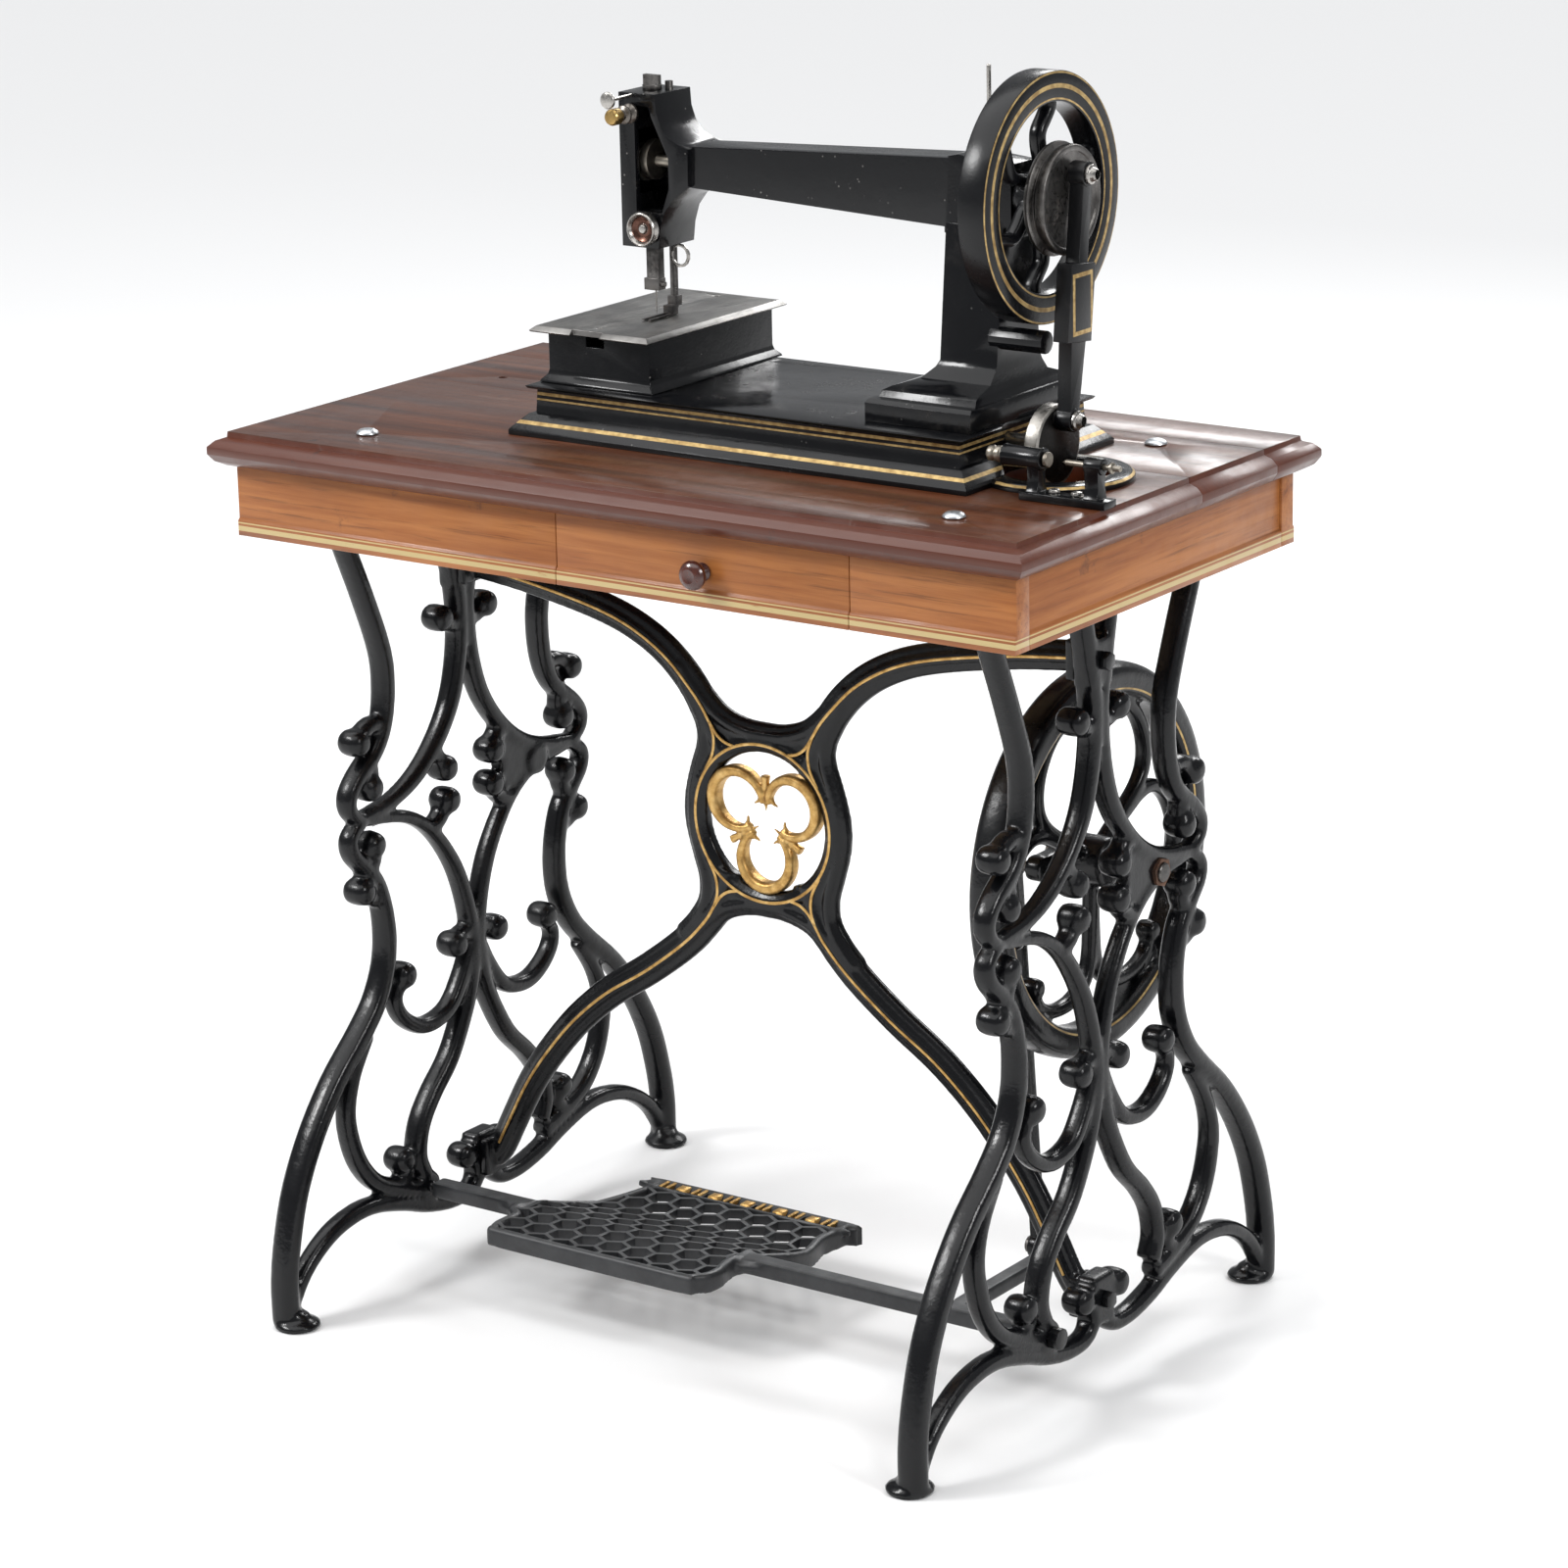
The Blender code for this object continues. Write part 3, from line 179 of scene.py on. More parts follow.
def ironFinish(name, lines=None, wear=0.35, lumps=0.5, rough=0.24, black=iron["black"], specks=0.0):
    # black japanned iron; lines(finish) gives the mask of its gilt bands
    made = Finish(name, Specular_IOR_Level=0.32)
    cloud = made.noise(14, 5, 0.6)
    grain = made.noise(420, 3, 0.6)
    casting = made.noise(95, 4, 0.55)
    rub = made.edges().step(0.515, 0.60) * made.noise(60, 5, 0.7).step(0.50, 0.72) * wear
    dull = made.noise(6, 4, 0.65).step(0.52, 0.75) * 0.35
    color = made.blend(dull, black, tuple(v * 1.9 for v in black))
    color = made.blend(rub, color, iron["worn"])
    if specks:
        chips = (1.0 - made.cells(150).step(0.05, 0.16)) * made.noise(25, 3).step(0.55, 0.62) * specks
        color = made.blend(chips, color, (0.33, 0.32, 0.30))
    shine = rough + 0.16 * cloud.step(0.35, 0.75) + 0.25 * rub
    if lines:
        mask = lines(made)
        worn = made.noise(300, 4, 0.7).step(0.22, 0.40)
        leaf = made.blend(made.noise(160, 3).step(0.3, 0.7), gold["dark"], gold["light"])
        mask = mask * worn
        color = made.blend(mask, color, leaf)
        shine = shine * (1.0 - mask) + gold["rough"] * mask
        made.set("Metallic", mask * 0.55)
    made.set("Base Color", color)
    made.set("Roughness", shine)
    made.bump(casting * 0.8 + grain * 0.3, lumps, 0.0006)
    return made.material


def giltFinish(name):
    made = Finish(name, metallic=0.85)
    wash = made.noise(110, 5, 0.65)
    stops = [(0.25, (0.24, 0.12, 0.035)), (0.5, (0.56, 0.34, 0.11)), (0.75, (0.80, 0.56, 0.24))]
    color = made.ramp(wash, stops)
    # darker brown in the hollows
    hollowDarkening = made.edges().step(0.42, 0.50)
    color = made.blend(hollowDarkening, (0.16, 0.085, 0.03), color)
    made.set("Base Color", color)
    made.set("Roughness", 0.30 + 0.25 * made.noise(240, 3))
    made.bump(made.noise(330, 4) + wash * 0.5, 0.5, 0.0005)
    return made.material


def metalFinish(name, light, dark, rough=0.28, scale=90, scratch=(1, 1, 1), stain=0.4,
                stainColor=(0.10, 0.07, 0.05), extra=None):
    # light and dark clouds, fine scratches stretched by scratch, stain spots
    made = Finish(name, metallic=0.95)
    cloud = made.noise(scale * 0.35, 5, 0.65)
    fine = made.noise(scale * 4, 4, 0.7, made.stretched(scratch))
    color = made.blend(cloud.step(0.35, 0.70), light, dark)
    spots = made.noise(scale, 6, 0.72).step(0.56, 0.72) * stain
    color = made.blend(spots, color, stainColor)
    if extra:
        color = extra(made, color)
    made.set("Base Color", color)
    made.set("Roughness", rough + 0.22 * fine.step(0.3, 0.8) + 0.25 * spots)
    made.set("Metallic", 0.96 - 0.45 * spots)
    made.bump(fine + spots * 0.6, 0.25, 0.0003)
    return made.material


def woodFinish(name, colors, grainAxis=0, rough=0.30, pores=0.5, blotch=0.35, coat=0.25, extra=None):
    # grain runs along grainAxis; colors go from the dark line to the light wood
    made = Finish(name, Coat_Roughness=0.12)
    scale = [26.0, 26.0, 26.0]
    scale[grainAxis] = 1.3
    along = made.stretched(scale)
    waves = made.noise(1.6, 4, 0.55, along, 0.9)
    lines = made.noise(7.0, 6, 0.65, along, 0.25)
    thin = [320.0, 320.0, 320.0]
    thin[grainAxis] = 9.0
    hairs = made.noise(1.0, 4, 0.7, made.stretched(thin))
    figure = waves * 0.55 + lines * 0.45
    color = made.ramp(figure, [(0.30, colors[0]), (0.46, colors[1]), (0.62, colors[2])])
    color = made.blend(hairs.step(0.54, 0.70) * pores, color, tuple(v * 0.35 for v in colors[0]))
    patch = made.noise(5, 4, 0.6).step(0.45, 0.75) * blotch
    color = made.blend(patch, color, tuple(v * 0.62 for v in colors[1]))
    shine = rough + 0.20 * made.noise(40, 5, 0.6).step(0.35, 0.8)
    if extra:
        color, shine = extra(made, color, shine)
    made.set("Base Color", color)
    made.set("Roughness", shine)
    made.set("Coat Weight", coat)
    made.bump(hairs * 0.7 + lines * 0.3, 0.35, 0.0004)
    return made.material


def topExtra(made, color, shine):
    # dark worn varnish on the flat, redder moulding at the edge, rubs and scratches
    edge = 1.0 - made.z.step(0.7488, 0.7497)
    color = made.blend(edge * 0.75, color, (0.085, 0.0165, 0.0055))
    bare = made.noise(11, 6, 0.7).step(0.60, 0.76) * 0.30
    color = made.blend(bare, color, (0.105, 0.048, 0.026))
    ring = made.noise(3, 5, 0.7, made.stretched((5, 30, 5), (0, 0, 0.5)), 0.4).step(0.64, 0.70) * 0.35
    color = made.blend(ring, color, (0.16, 0.12, 0.10))
    black = made.noise(17, 6, 0.75).step(0.63, 0.71) * 0.8
    color = made.blend(black, color, (0.012, 0.008, 0.007))
    return color, shine + 0.18 * bare + 0.25 * ring


def apronExtra(made, color, shine):
    # two gilt lines over the narrow moulding at the foot of the apron
    lines = stripes(made, gilt["apron heights"])
    worn = made.noise(90, 5, 0.7, made.stretched((0.3, 0.3, 2))).step(0.20, 0.36)
    color = made.blend(lines * worn, color, (0.50, 0.38, 0.17))
    dirt = made.noise(23, 5, 0.7).step(0.62, 0.72) * 0.55
    color = made.blend(dirt, color, (0.07, 0.028, 0.014))
    return color, shine


walnutColors = ((0.020, 0.0055, 0.0024), (0.060, 0.0165, 0.0058), (0.112, 0.034, 0.0115))
apronColors = ((0.13, 0.036, 0.0085), (0.285, 0.090, 0.0195), (0.40, 0.148, 0.038))
dealColors = ((0.20, 0.12, 0.06), (0.33, 0.21, 0.11), (0.44, 0.30, 0.17))
knobColors = ((0.018, 0.004, 0.003), (0.045, 0.009, 0.005), (0.085, 0.018, 0.009))


# gilt lines, in metres: heights from low to high, rings as (radius, width), face is the side they lie on
gilt = {
    "apron heights": ((0.6672, 0.6713), (0.6733, 0.6744)),
    "base heights": ((0.7813, 0.7838), (0.7772, 0.7787), (0.7592, 0.7617)),
    "lobe": {"centre": (0.294, -0.015), "radii": (0.0575, 0.0595), "below": 0.7575, "past": 0.272},
    "handwheel": {"radii": ((0.0955, 0.0014), (0.0853, 0.0034), (0.0755, 0.0014)),
                  "centre": (0.003, 0.963), "face": 0.2785},
    "flywheel": {"radii": ((0.1415, 0.0016),), "centre": (0.090, 0.409), "face": 0.266},
    "rod": {"centre": (-0.0062, 0.8865), "half": (0.0141, 0.0238), "line": 0.0033, "soft": 0.0003,
            "face": 0.311},
}


def ringMask(made, radii, centre, face):
    # gilt rings on a wheel whose axis is X, only on the side past face
    dy, dz = made.y - centre[0], made.z - centre[1]
    radius = (dy * dy + dz * dz).root()
    found = None
    for middle, wide in radii:
        line = made.band(radius, middle - wide / 2, middle + wide / 2)
        found = line if found is None else found.most(line)
    return found * (made.x > face)


def stripes(made, heights):
    found = None
    for low, high in heights:
        line = made.band(made.z, low, high)
        found = line if found is None else found.most(line)
    return found


def baseLines(made):
    return stripes(made, gilt["base heights"]).most(lobeLine(made))


def lobeLine(made):
    lobe = gilt["lobe"]
    dx, dy = made.x - lobe["centre"][0], made.y - lobe["centre"][1]
    radius = (dx * dx + dy * dy).root()
    return made.band(radius, *lobe["radii"]) * (made.z < lobe["below"]) * (made.x > lobe["past"])


def handLines(made):
    return ringMask(made, **gilt["handwheel"])


def fastLines(made):
    return ringMask(made, **gilt["flywheel"])


def rodLines(made):
    # hollow rectangle on the outer face of the connecting rod's block
    rod = gilt["rod"]
    across, up = abs(made.y - rod["centre"][0]), abs(made.z - rod["centre"][1])
    wide, tall = rod["half"]

    def filled(inset):
        return ((1.0 - across.step(wide - inset, wide - inset + rod["soft"]))
                * (1.0 - up.step(tall - inset, tall - inset + rod["soft"])))
    return (filled(0.0) - filled(rod["line"])) * (made.x > rod["face"])


def knobDiscs(made, color):
    # steel discs behind the brass knob
    return made.blend(made.y.step(-0.0366, -0.0362), color, (0.16, 0.145, 0.13))


def cupFace(made, color):
    # brown dished face inside the bright rim
    dx, dz = made.x + 0.0885, made.z - 0.9125
    radius = (dx * dx + dz * dz).root()
    dish = (1.0 - radius.step(0.0102, 0.0108)) * radius.step(0.0040, 0.0046)
    return made.blend(dish, color, (0.12, 0.060, 0.045))


def discFace(made, color):
    # blackened face, bright rim
    dy, dz = made.y + 0.018, made.z - 0.7765
    radius = (dy * dy + dz * dz).root()
    face = (1.0 - radius.step(0.0288, 0.0296)) * (made.x > 0.2955)
    return made.blend(face, color, (0.022, 0.021, 0.020))


finishes = {
    "walnut_top": woodFinish("worn walnut", walnutColors, 0, 0.30, 0.6, 0.5, 0.18, topExtra),
    "apron_wood": woodFinish("apron wood", apronColors, 0, 0.34, 0.45, 0.30, 0.15, apronExtra),
    "apron_side": woodFinish("apron side wood", apronColors, 1, 0.34, 0.45, 0.30, 0.15, apronExtra),
    "drawer_wood": woodFinish("drawer wood", dealColors, 1, 0.60, 0.5, 0.2, 0.0),
    "knob_wood": woodFinish("knob wood", knobColors, 1, 0.20, 0.3, 0.2, 0.5),
    "frame_iron": ironFinish("frame iron", None, 0.5, 0.80, 0.17),
    "wheel_iron": ironFinish("flywheel iron", fastLines, 0.5, 0.7, 0.18),
    "machine_iron": ironFinish("machine iron", None, 0.45, 0.30, 0.13, specks=0.5),
    "base_iron": ironFinish("base iron", baseLines, 0.4, 0.3, 0.13, specks=0.3),
    "hand_iron": ironFinish("handwheel iron", handLines, 0.35, 0.25, 0.18),
    "rod_iron": ironFinish("rod iron", rodLines, 0.5, 0.3, 0.22),
    "gilt_iron": giltFinish("gilt"),
    "dark_steel": metalFinish("dark steel", (0.16, 0.152, 0.145), (0.055, 0.052, 0.050), 0.26),
    "cam_steel": metalFinish("cam steel", (0.36, 0.33, 0.28), (0.17, 0.15, 0.125), 0.30),
    "disc_steel": metalFinish("disc steel", (0.42, 0.40, 0.37), (0.20, 0.19, 0.175), 0.26, extra=discFace),
    "worn_steel": metalFinish("worn steel", (0.27, 0.262, 0.25), (0.145, 0.14, 0.135), 0.30, 60, (1, 0.1, 1),
                              0.30),
    "nickel": metalFinish("nickel", (0.50, 0.48, 0.45), (0.21, 0.20, 0.19), 0.18, 120, (1, 1, 1), 0.45),
    "brass": metalFinish("brass", (0.52, 0.35, 0.13), (0.28, 0.18, 0.065), 0.24, 120, extra=knobDiscs),
    "cup_nickel": metalFinish("cup nickel", (0.50, 0.48, 0.45), (0.21, 0.20, 0.19), 0.18, 120, extra=cupFace),
    "zinc": metalFinish("zinc", (0.68, 0.70, 0.72), (0.50, 0.52, 0.54), 0.26, 140, (1, 1, 1), 0.1),
    "rusty_iron": metalFinish("rusty iron", (0.16, 0.085, 0.055), (0.07, 0.045, 0.035), 0.5, 100, (1, 1, 1),
                              0.7, (0.16, 0.07, 0.035)),
}


def treadleFinish():
    # dark iron; the faces that look up are painted lighter grey, partly as shoe wear and partly as a painted
    # highlight
    made = Finish("treadle iron")
    top = made.upward().step(0.80, 0.98)
    rub = made.noise(30, 5, 0.65)
    color = made.blend(rub.step(0.3, 0.7), (0.010, 0.0105, 0.012), (0.026, 0.027, 0.029))
    # upward faces lighter: rubbed by shoes, and a painted highlight of the light from above
    worn = top * (0.35 + 0.55 * made.noise(70, 4, 0.6).step(0.3, 0.7))
    color = made.blend(worn, color, (0.085, 0.088, 0.090))
    made.set("Base Color", color)
    made.set("Roughness", 0.34 + 0.2 * rub)
    made.set("Metallic", top * 0.25)
    made.bump(made.noise(260, 4) + rub, 0.45, 0.0005)
    return made.material


finishes["treadle_iron"] = treadleFinish()
print("finishes made:", len(finishes))


# modelling helpers
def newObject(name, bm):
    mesh = bpy.data.meshes.new(name)
    bm.to_mesh(mesh)
    bm.free()
    made = bpy.data.objects.new(name, mesh)
    scene.collection.objects.link(made)
    return made


def modified(piece):
    # the piece's mesh with its modifiers applied
    bpy.context.view_layer.update()
    mesh = bpy.data.meshes.new_from_object(piece.evaluated_get(bpy.context.evaluated_depsgraph_get()))
    made = bmesh.new()
    made.from_mesh(mesh)
    bpy.data.meshes.remove(mesh)
    return made


def show(name, bm, finish, nodes=(), body=None, angle=38):
    # one finished piece; it rides on its node's body unless another is given
    piece = newObject(name, bm)
    mesh = piece.data
    mesh.materials.append(finishes[finish])
    mesh.shade_smooth()
    mesh.set_sharp_from_angle(angle=math.radians(angle))
    first = nodes[0] if nodes else None
    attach(piece, body or bodyFor[first])
    if nodes:
        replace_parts(piece, *nodes)
    return piece


def cadCopy(*names):
    # the frame's loose triangles, merged, with flat regions made one face again
    bm = bmesh.new()
    for name in names:
        bm.from_mesh(frame["nodes"][name].data)
    bmesh.ops.remove_doubles(bm, verts=bm.verts, dist=2e-6)
    bmesh.ops.dissolve_limit(bm, angle_limit=math.radians(0.6), verts=bm.verts, edges=bm.edges)
    return bm


def softEdges(bm, width, segments=2, angle=28):
    sharp = [edge for edge in bm.edges if len(edge.link_faces) == 2
             and edge.calc_face_angle(0) > math.radians(angle)]
    bmesh.ops.bevel(bm, geom=sharp, offset=width, offset_type="OFFSET", affect="EDGES", segments=segments,
                    profile=0.5, material=-1, clamp_overlap=True)
    return bm


def cast(bm, voxel, rounds, factor=0.5):
    # one sound casting: remeshed, then its corners eased
    raw = newObject("raw", bm)
    grid = raw.modifiers.new("grid", "REMESH")
    grid.mode = "VOXEL"
    grid.voxel_size = voxel
    ease = raw.modifiers.new("ease", "SMOOTH")
    ease.factor = factor
    ease.iterations = rounds
    made = modified(raw)
    bpy.data.objects.remove(raw)
    return made


def smoothPath(points, steps=5, closed=False):
    # Catmull-Rom through the given points
    spots = [Vector(p) for p in points]
    count = len(spots)
    found = []
    for i in range(count if closed else count - 1):
        p1, p2 = spots[i], spots[(i + 1) % count]
        p0 = spots[i - 1] if closed or i else p1 * 2 - p2
        p3 = spots[(i + 2) % count] if closed or i + 2 < count else p2 * 2 - p1
        for k in range(steps):
            t = k / steps
            found.append(0.5 * (2 * p1 + (p2 - p0) * t + (2 * p0 - 5 * p1 + 4 * p2 - p3) * t * t
                                + (3 * p1 - p0 - 3 * p2 + p3) * t ** 3))
    if not closed:
        found.append(spots[-1])
    return found


def roundSection(wide, deep, sides=14, square=2.6):
    # rounded section, squarer as square grows
    found = []
    for i in range(sides):
        turn = 2 * math.pi * (i + 0.5) / sides
        c, s = math.cos(turn), math.sin(turn)
        found.append((wide / 2 * math.copysign(abs(c) ** (2 / square), c),
                      deep / 2 * math.copysign(abs(s) ** (2 / square), s)))
    return found


axisDirections = {"X": Vector((1, 0, 0)), "Y": Vector((0, 1, 0)), "Z": Vector((0, 0, 1))}


def sweepBar(bm, path, axis, section, taper=None, closed=False):
    # carries a section along a path that lies across the axis; taper(share of the way) gives its size
    out = axisDirections[axis]
    count = len(path)
    poses = []
    for i, here in enumerate(path):
        before = path[i - 1] if closed or i else path[0]
        after = path[(i + 1) % count] if closed or i + 1 < count else path[-1]
        run = (after - before).normalized()
        side = out.cross(run).normalized()
        size = taper(i / (count - 1)) if taper else 1.0
        pose = Matrix((side * size, out * size, run)).transposed().to_4x4()
        pose.translation = here
        poses.append(pose)
    ring = [bm.verts.new((a, b, 0)) for a, b in section]
    edges = [bm.edges.new((ring[i - 1], ring[i])) for i in range(len(ring))]
    bmesh.ops.transform(bm, matrix=poses[0], verts=ring)
    startEdges = list(edges)
    for one, two in zip(poses, poses[1:]):
        pulled = bmesh.ops.extrude_edge_only(bm, edges=edges)["geom"]
        moved = [item for item in pulled if isinstance(item, bmesh.types.BMVert)]
        edges = [item for item in pulled if isinstance(item, bmesh.types.BMEdge)
                 and all(v in moved for v in item.verts)]
        bmesh.ops.transform(bm, matrix=two @ one.inverted(), verts=moved)
    if closed:
        bmesh.ops.bridge_loops(bm, edges=edges + startEdges)
    else:
        bmesh.ops.contextual_create(bm, geom=edges)
        bmesh.ops.contextual_create(bm, geom=startEdges)


def flat(points, axis, along, mirror=1):
    # millimetre pairs to points in the plane that the axis is normal to
    place = {"X": lambda a, b: (along, mirror * a, b), "Y": lambda a, b: (mirror * a, along, b),
             "Z": lambda a, b: (mirror * a, b, along)}[axis]
    return [Vector(place(a / 1000, b / 1000)) for a, b in points]


def latheInto(bm, profile, axis, centre, steps=48):
    # (radius, place along the axis) pairs in millimetres, spun about the axis through centre
    out = axisDirections[axis]
    side = {"X": Vector((0, 0, 1)), "Y": Vector((0, 0, 1)), "Z": Vector((1, 0, 0))}[axis]
    base = Vector(centre) - out * Vector(centre).dot(out)
    chain = [bm.verts.new(base + side * (r / 1000) + out * (a / 1000)) for r, a in profile]
    edges = [bm.edges.new(pair) for pair in zip(chain, chain[1:])]
    if profile[0][0] > 0 and profile[-1][0] > 0:
        edges.append(bm.edges.new((chain[-1], chain[0])))
    bmesh.ops.spin(bm, geom=chain + edges, cent=base, axis=out, angle=2 * math.pi, steps=steps,
                   use_merge=True, use_duplicate=False)


def closeUp(bm):
    bmesh.ops.remove_doubles(bm, verts=bm.verts, dist=1e-6)
    bmesh.ops.dissolve_degenerate(bm, dist=1e-7, edges=bm.edges)
    bmesh.ops.recalc_face_normals(bm, faces=bm.faces)
    return bm


def lathe(name, profile, axis, centre, finish, nodes=(), soft=0.0002, steps=56, body=None):
    bm = bmesh.new()
    latheInto(bm, profile, axis, centre, steps)
    closeUp(bm)
    if soft:
        softEdges(bm, soft, 2, 24)
    return show(name, bm, finish, nodes, body)


def block(bm, low, high):
    made = bmesh.ops.create_cube(bm, size=1.0)["verts"]
    size = [b - a for a, b in zip(low, high)]
    middle = [(a + b) / 2 for a, b in zip(low, high)]
    bmesh.ops.scale(bm, vec=size, verts=made)
    bmesh.ops.translate(bm, vec=middle, verts=made)


def polar(centre, radius, angle):
    turn = math.radians(angle)
    return Vector((centre[0] + radius * math.cos(turn), centre[1] + radius * math.sin(turn)))


def pullUp(bm, faces, move):
    # extrudes faces and gives the new side its place
    pulled = bmesh.ops.extrude_face_region(bm, geom=faces)["geom"]
    moved = [item for item in pulled if isinstance(item, bmesh.types.BMVert)]
    bmesh.ops.translate(bm, vec=move, verts=moved)


def slab(bm, points, axis, low, high):
    # flat plate with the given outline across the axis
    face = bm.faces.new([bm.verts.new(p) for p in flat(points, axis, low)])
    pullUp(bm, [face], axisDirections[axis] * (high - low))


# scrolled side frames
frames = {
    "plane": 0.316, "wide": 0.0166, "deep": 0.0218, "voxel": 0.0023, "ease": 4,
    # points in millimetres from the middle and the floor, then the bar's thickness at each end
    "bars": (
        (((165, 699), (152, 660), (126, 600), (108, 552), (105, 520), (110, 490), (123, 468), (147, 449),
          (158, 435), (156, 422), (143, 412)), 0.95, 0.75),
        (((143, 412), (158, 400), (156, 386), (143, 372), (127, 352), (118, 318), (120, 283), (134, 252),
          (156, 228), (193, 195), (224, 157), (247, 116), (260, 75), (266, 40), (266, 4)), 0.75, 1.12),
        (((28, 699), (22, 660), (13, 618), (6, 580), (5, 548), (10, 515), (22, 483), (44, 454), (72, 432),
          (105, 419), (150, 412.5)), 0.95, 0.70),
        (((150, 412), (104, 406), (74, 396), (48, 376), (24, 343), (10, 308), (4, 276), (5, 250), (13, 220),
          (38, 175), (66, 147), (83, 124), (89, 98), (82, 78)), 0.62, 1.0),
        (((98, 262), (109, 245), (101, 227), (80, 213), (58, 211), (36, 219), (18, 242), (5, 268)), 0.7, 0.8),
        (((146, 225), (168, 194), (178, 165), (175, 138), (164, 112), (145, 91), (118, 78), (84, 66)),
         0.7, 0.9),
        (((265, 10), (243, 41), (212, 62), (180, 71), (148, 71), (110, 61), (80, 50), (48, 43), (22, 44),
          (9, 56), (14, 74), (26, 80)), 0.8, 0.8),
    ),
    "ends": ((145, 480), (131, 438), (131, 388), (147, 351), (30, 562), (28, 272), (32, 431), (30, 402),
             (111, 101), (26, 78), (98, 264)),
    "stubs": (
        ((110, 488), (126, 491), (145, 482)), ((132, 462), (128, 451), (131, 439)),
        ((120, 340), (133, 341), (147, 349)), ((137, 365), (129, 376), (131, 387)),
        ((5, 560), (16, 554), (30, 562)), ((4, 274), (15, 279), (28, 272)),
        ((52, 447), (41, 444), (32, 431)), ((54, 382), (41, 388), (30, 402)),
        ((118, 78), (104, 88), (111, 101)),
    ),
    "web": ((44, 436), (60, 437), (88, 424), (140, 413), (88, 402), (62, 392), (46, 394), (41, 415)),
    # turned profiles as (radius, place along the axis)
    "ball": ((0, -13.2), (5.6, -12.8), (9.0, -11.2), (11.0, -8.2), (11.8, -3.5), (11.8, 3.5), (11.0, 8.2),
             (9.0, 11.2), (5.6, 12.8), (0, 13.2)),
    "foot": ((0, 0.2), (18.6, 0.2), (19.8, 1.5), (19.6, 4.4), (17.5, 6.0), (12.5, 8.0), (9.5, 13.0),
             (0, 14.0)),
    "pivot boss": ((0, 306.5), (13, 306.5), (13.4, 308), (13.4, 324), (13, 325.5), (0, 325.5)),
    "stud boss": ((0, 306.2), (14.6, 306.2), (15.4, 307.5), (15.4, 316.2), (0, 316.2)),
    "plain boss": ((0, 306.2), (12.4, 306.2), (13.4, 307.4), (13.4, 322), (0, 322)),
    "pads": ((0.587, 0.624), (0.052, 0.094)),
}


def sideFrame(stud):
    x = frames["plane"]
    bm = bmesh.new()
    for mirror in (-1, 1):
        for i, (points, first, last) in enumerate(frames["bars"]):
            # slightly different sizes, so that no two bars' faces coincide
            section = roundSection(frames["wide"] + 0.0002 * (i % 3), frames["deep"] - 0.0002 * i, 14, 2.8)
            sweepBar(bm, smoothPath(flat(points, "X", x, mirror)), "X", section,
                     lambda share: first + (last - first) * share + 0.12 * math.sin(math.pi * share))
        for points in frames["stubs"]:
            path = smoothPath(flat(points, "X", x, mirror), 4)
            sweepBar(bm, path, "X", roundSection(0.0138, 0.0178, 12, 2.8))
        for y, z in frames["ends"]:
            profile = [(r, x * 1000 + a) for r, a in frames["ball"]]
            latheInto(bm, profile, "X", (0, mirror * y / 1000, z / 1000), 20)
        latheInto(bm, frames["foot"], "Z", (0.309, mirror * 0.2605, 0), 28)
    latheInto(bm, frames["pivot boss"], "X", (0, -0.080, 0.068), 24)
    latheInto(bm, frames["stud boss" if stud else "plain boss"], "X", (0, 0.090, 0.409), 28)
    slab(bm, frames["web"], "X", x - 0.0065, x + 0.0060)
    block(bm, (x - 0.0123, -0.175, 0.6948), (x + 0.0123, 0.175, 0.7032))
    for low, high in frames["pads"]:
        block(bm, (x - 0.0096, -0.0158, low), (x + 0.0098, 0.0158, high))
    closeUp(bm)
    return cast(bm, frames["voxel"], frames["ease"])


rightCast = sideFrame(True)
leftCast = sideFrame(False)
bmesh.ops.scale(leftCast, vec=(-1, 1, 1), verts=leftCast.verts)
bmesh.ops.reverse_faces(leftCast, faces=leftCast.faces)
show("right_frame_cast", rightCast, "frame_iron", ("right_frame",))
show("left_frame_cast", leftCast, "frame_iron", ("left_frame",))
print("side frames cast")


# cross brace with its medallion and gilt lines
brace = {
    "z": 423.5, "hole": 59.5, "line ring": 67.5, "front": -0.0068, "voxel": 0.0018, "ease": 3,
    "upper": ((40, 470), (54, 499), (68, 524), (86, 545), (108, 562), (134, 575), (162, 584), (200, 592),
              (250, 600), (303, 606)),
    "lower": ((40, 377), (48, 350), (60, 333), (85, 306), (125, 275), (167, 247), (203, 216), (233, 182),
              (256, 150), (276, 114), (292, 84), (303, 72)),
    "top web": ((-84, 548), (-66, 527), (-45, 508), (-22, 499.5), (0, 498), (22, 499.5), (45, 508), (66, 527),
                (84, 548)),
    "foot web": ((-80, 308), (-64, 324), (-45, 341), (-22, 349), (0, 350.5), (22, 349), (45, 341), (64, 324),
                 (80, 308)),
    "side web": ((80, 533), (69, 515), (61, 498), (60.5, 481), (67, 461), (72, 443), (73.5, 423.5), (72, 404),
                 (67, 386), (61.5, 366), (63, 346), (74, 328), (88, 313)),
    "upper line": ((51, 503), (60, 517), (72, 531), (90, 549), (110, 563), (134, 575), (162, 584), (200, 592),
                   (250, 600), (296, 605)),
    "lower line": ((51, 344), (61, 329), (84, 305.5), (125, 274), (167, 247), (203, 216), (233, 182),
                   (256, 150), (276, 114), (290, 88)),
    "side fork": ((51, 503), (47.3, 491), (48.6, 477), (56, 462)),
    "top fork": ((51, 503), (44, 493.5), (36, 488), (26, 485.5)),
}


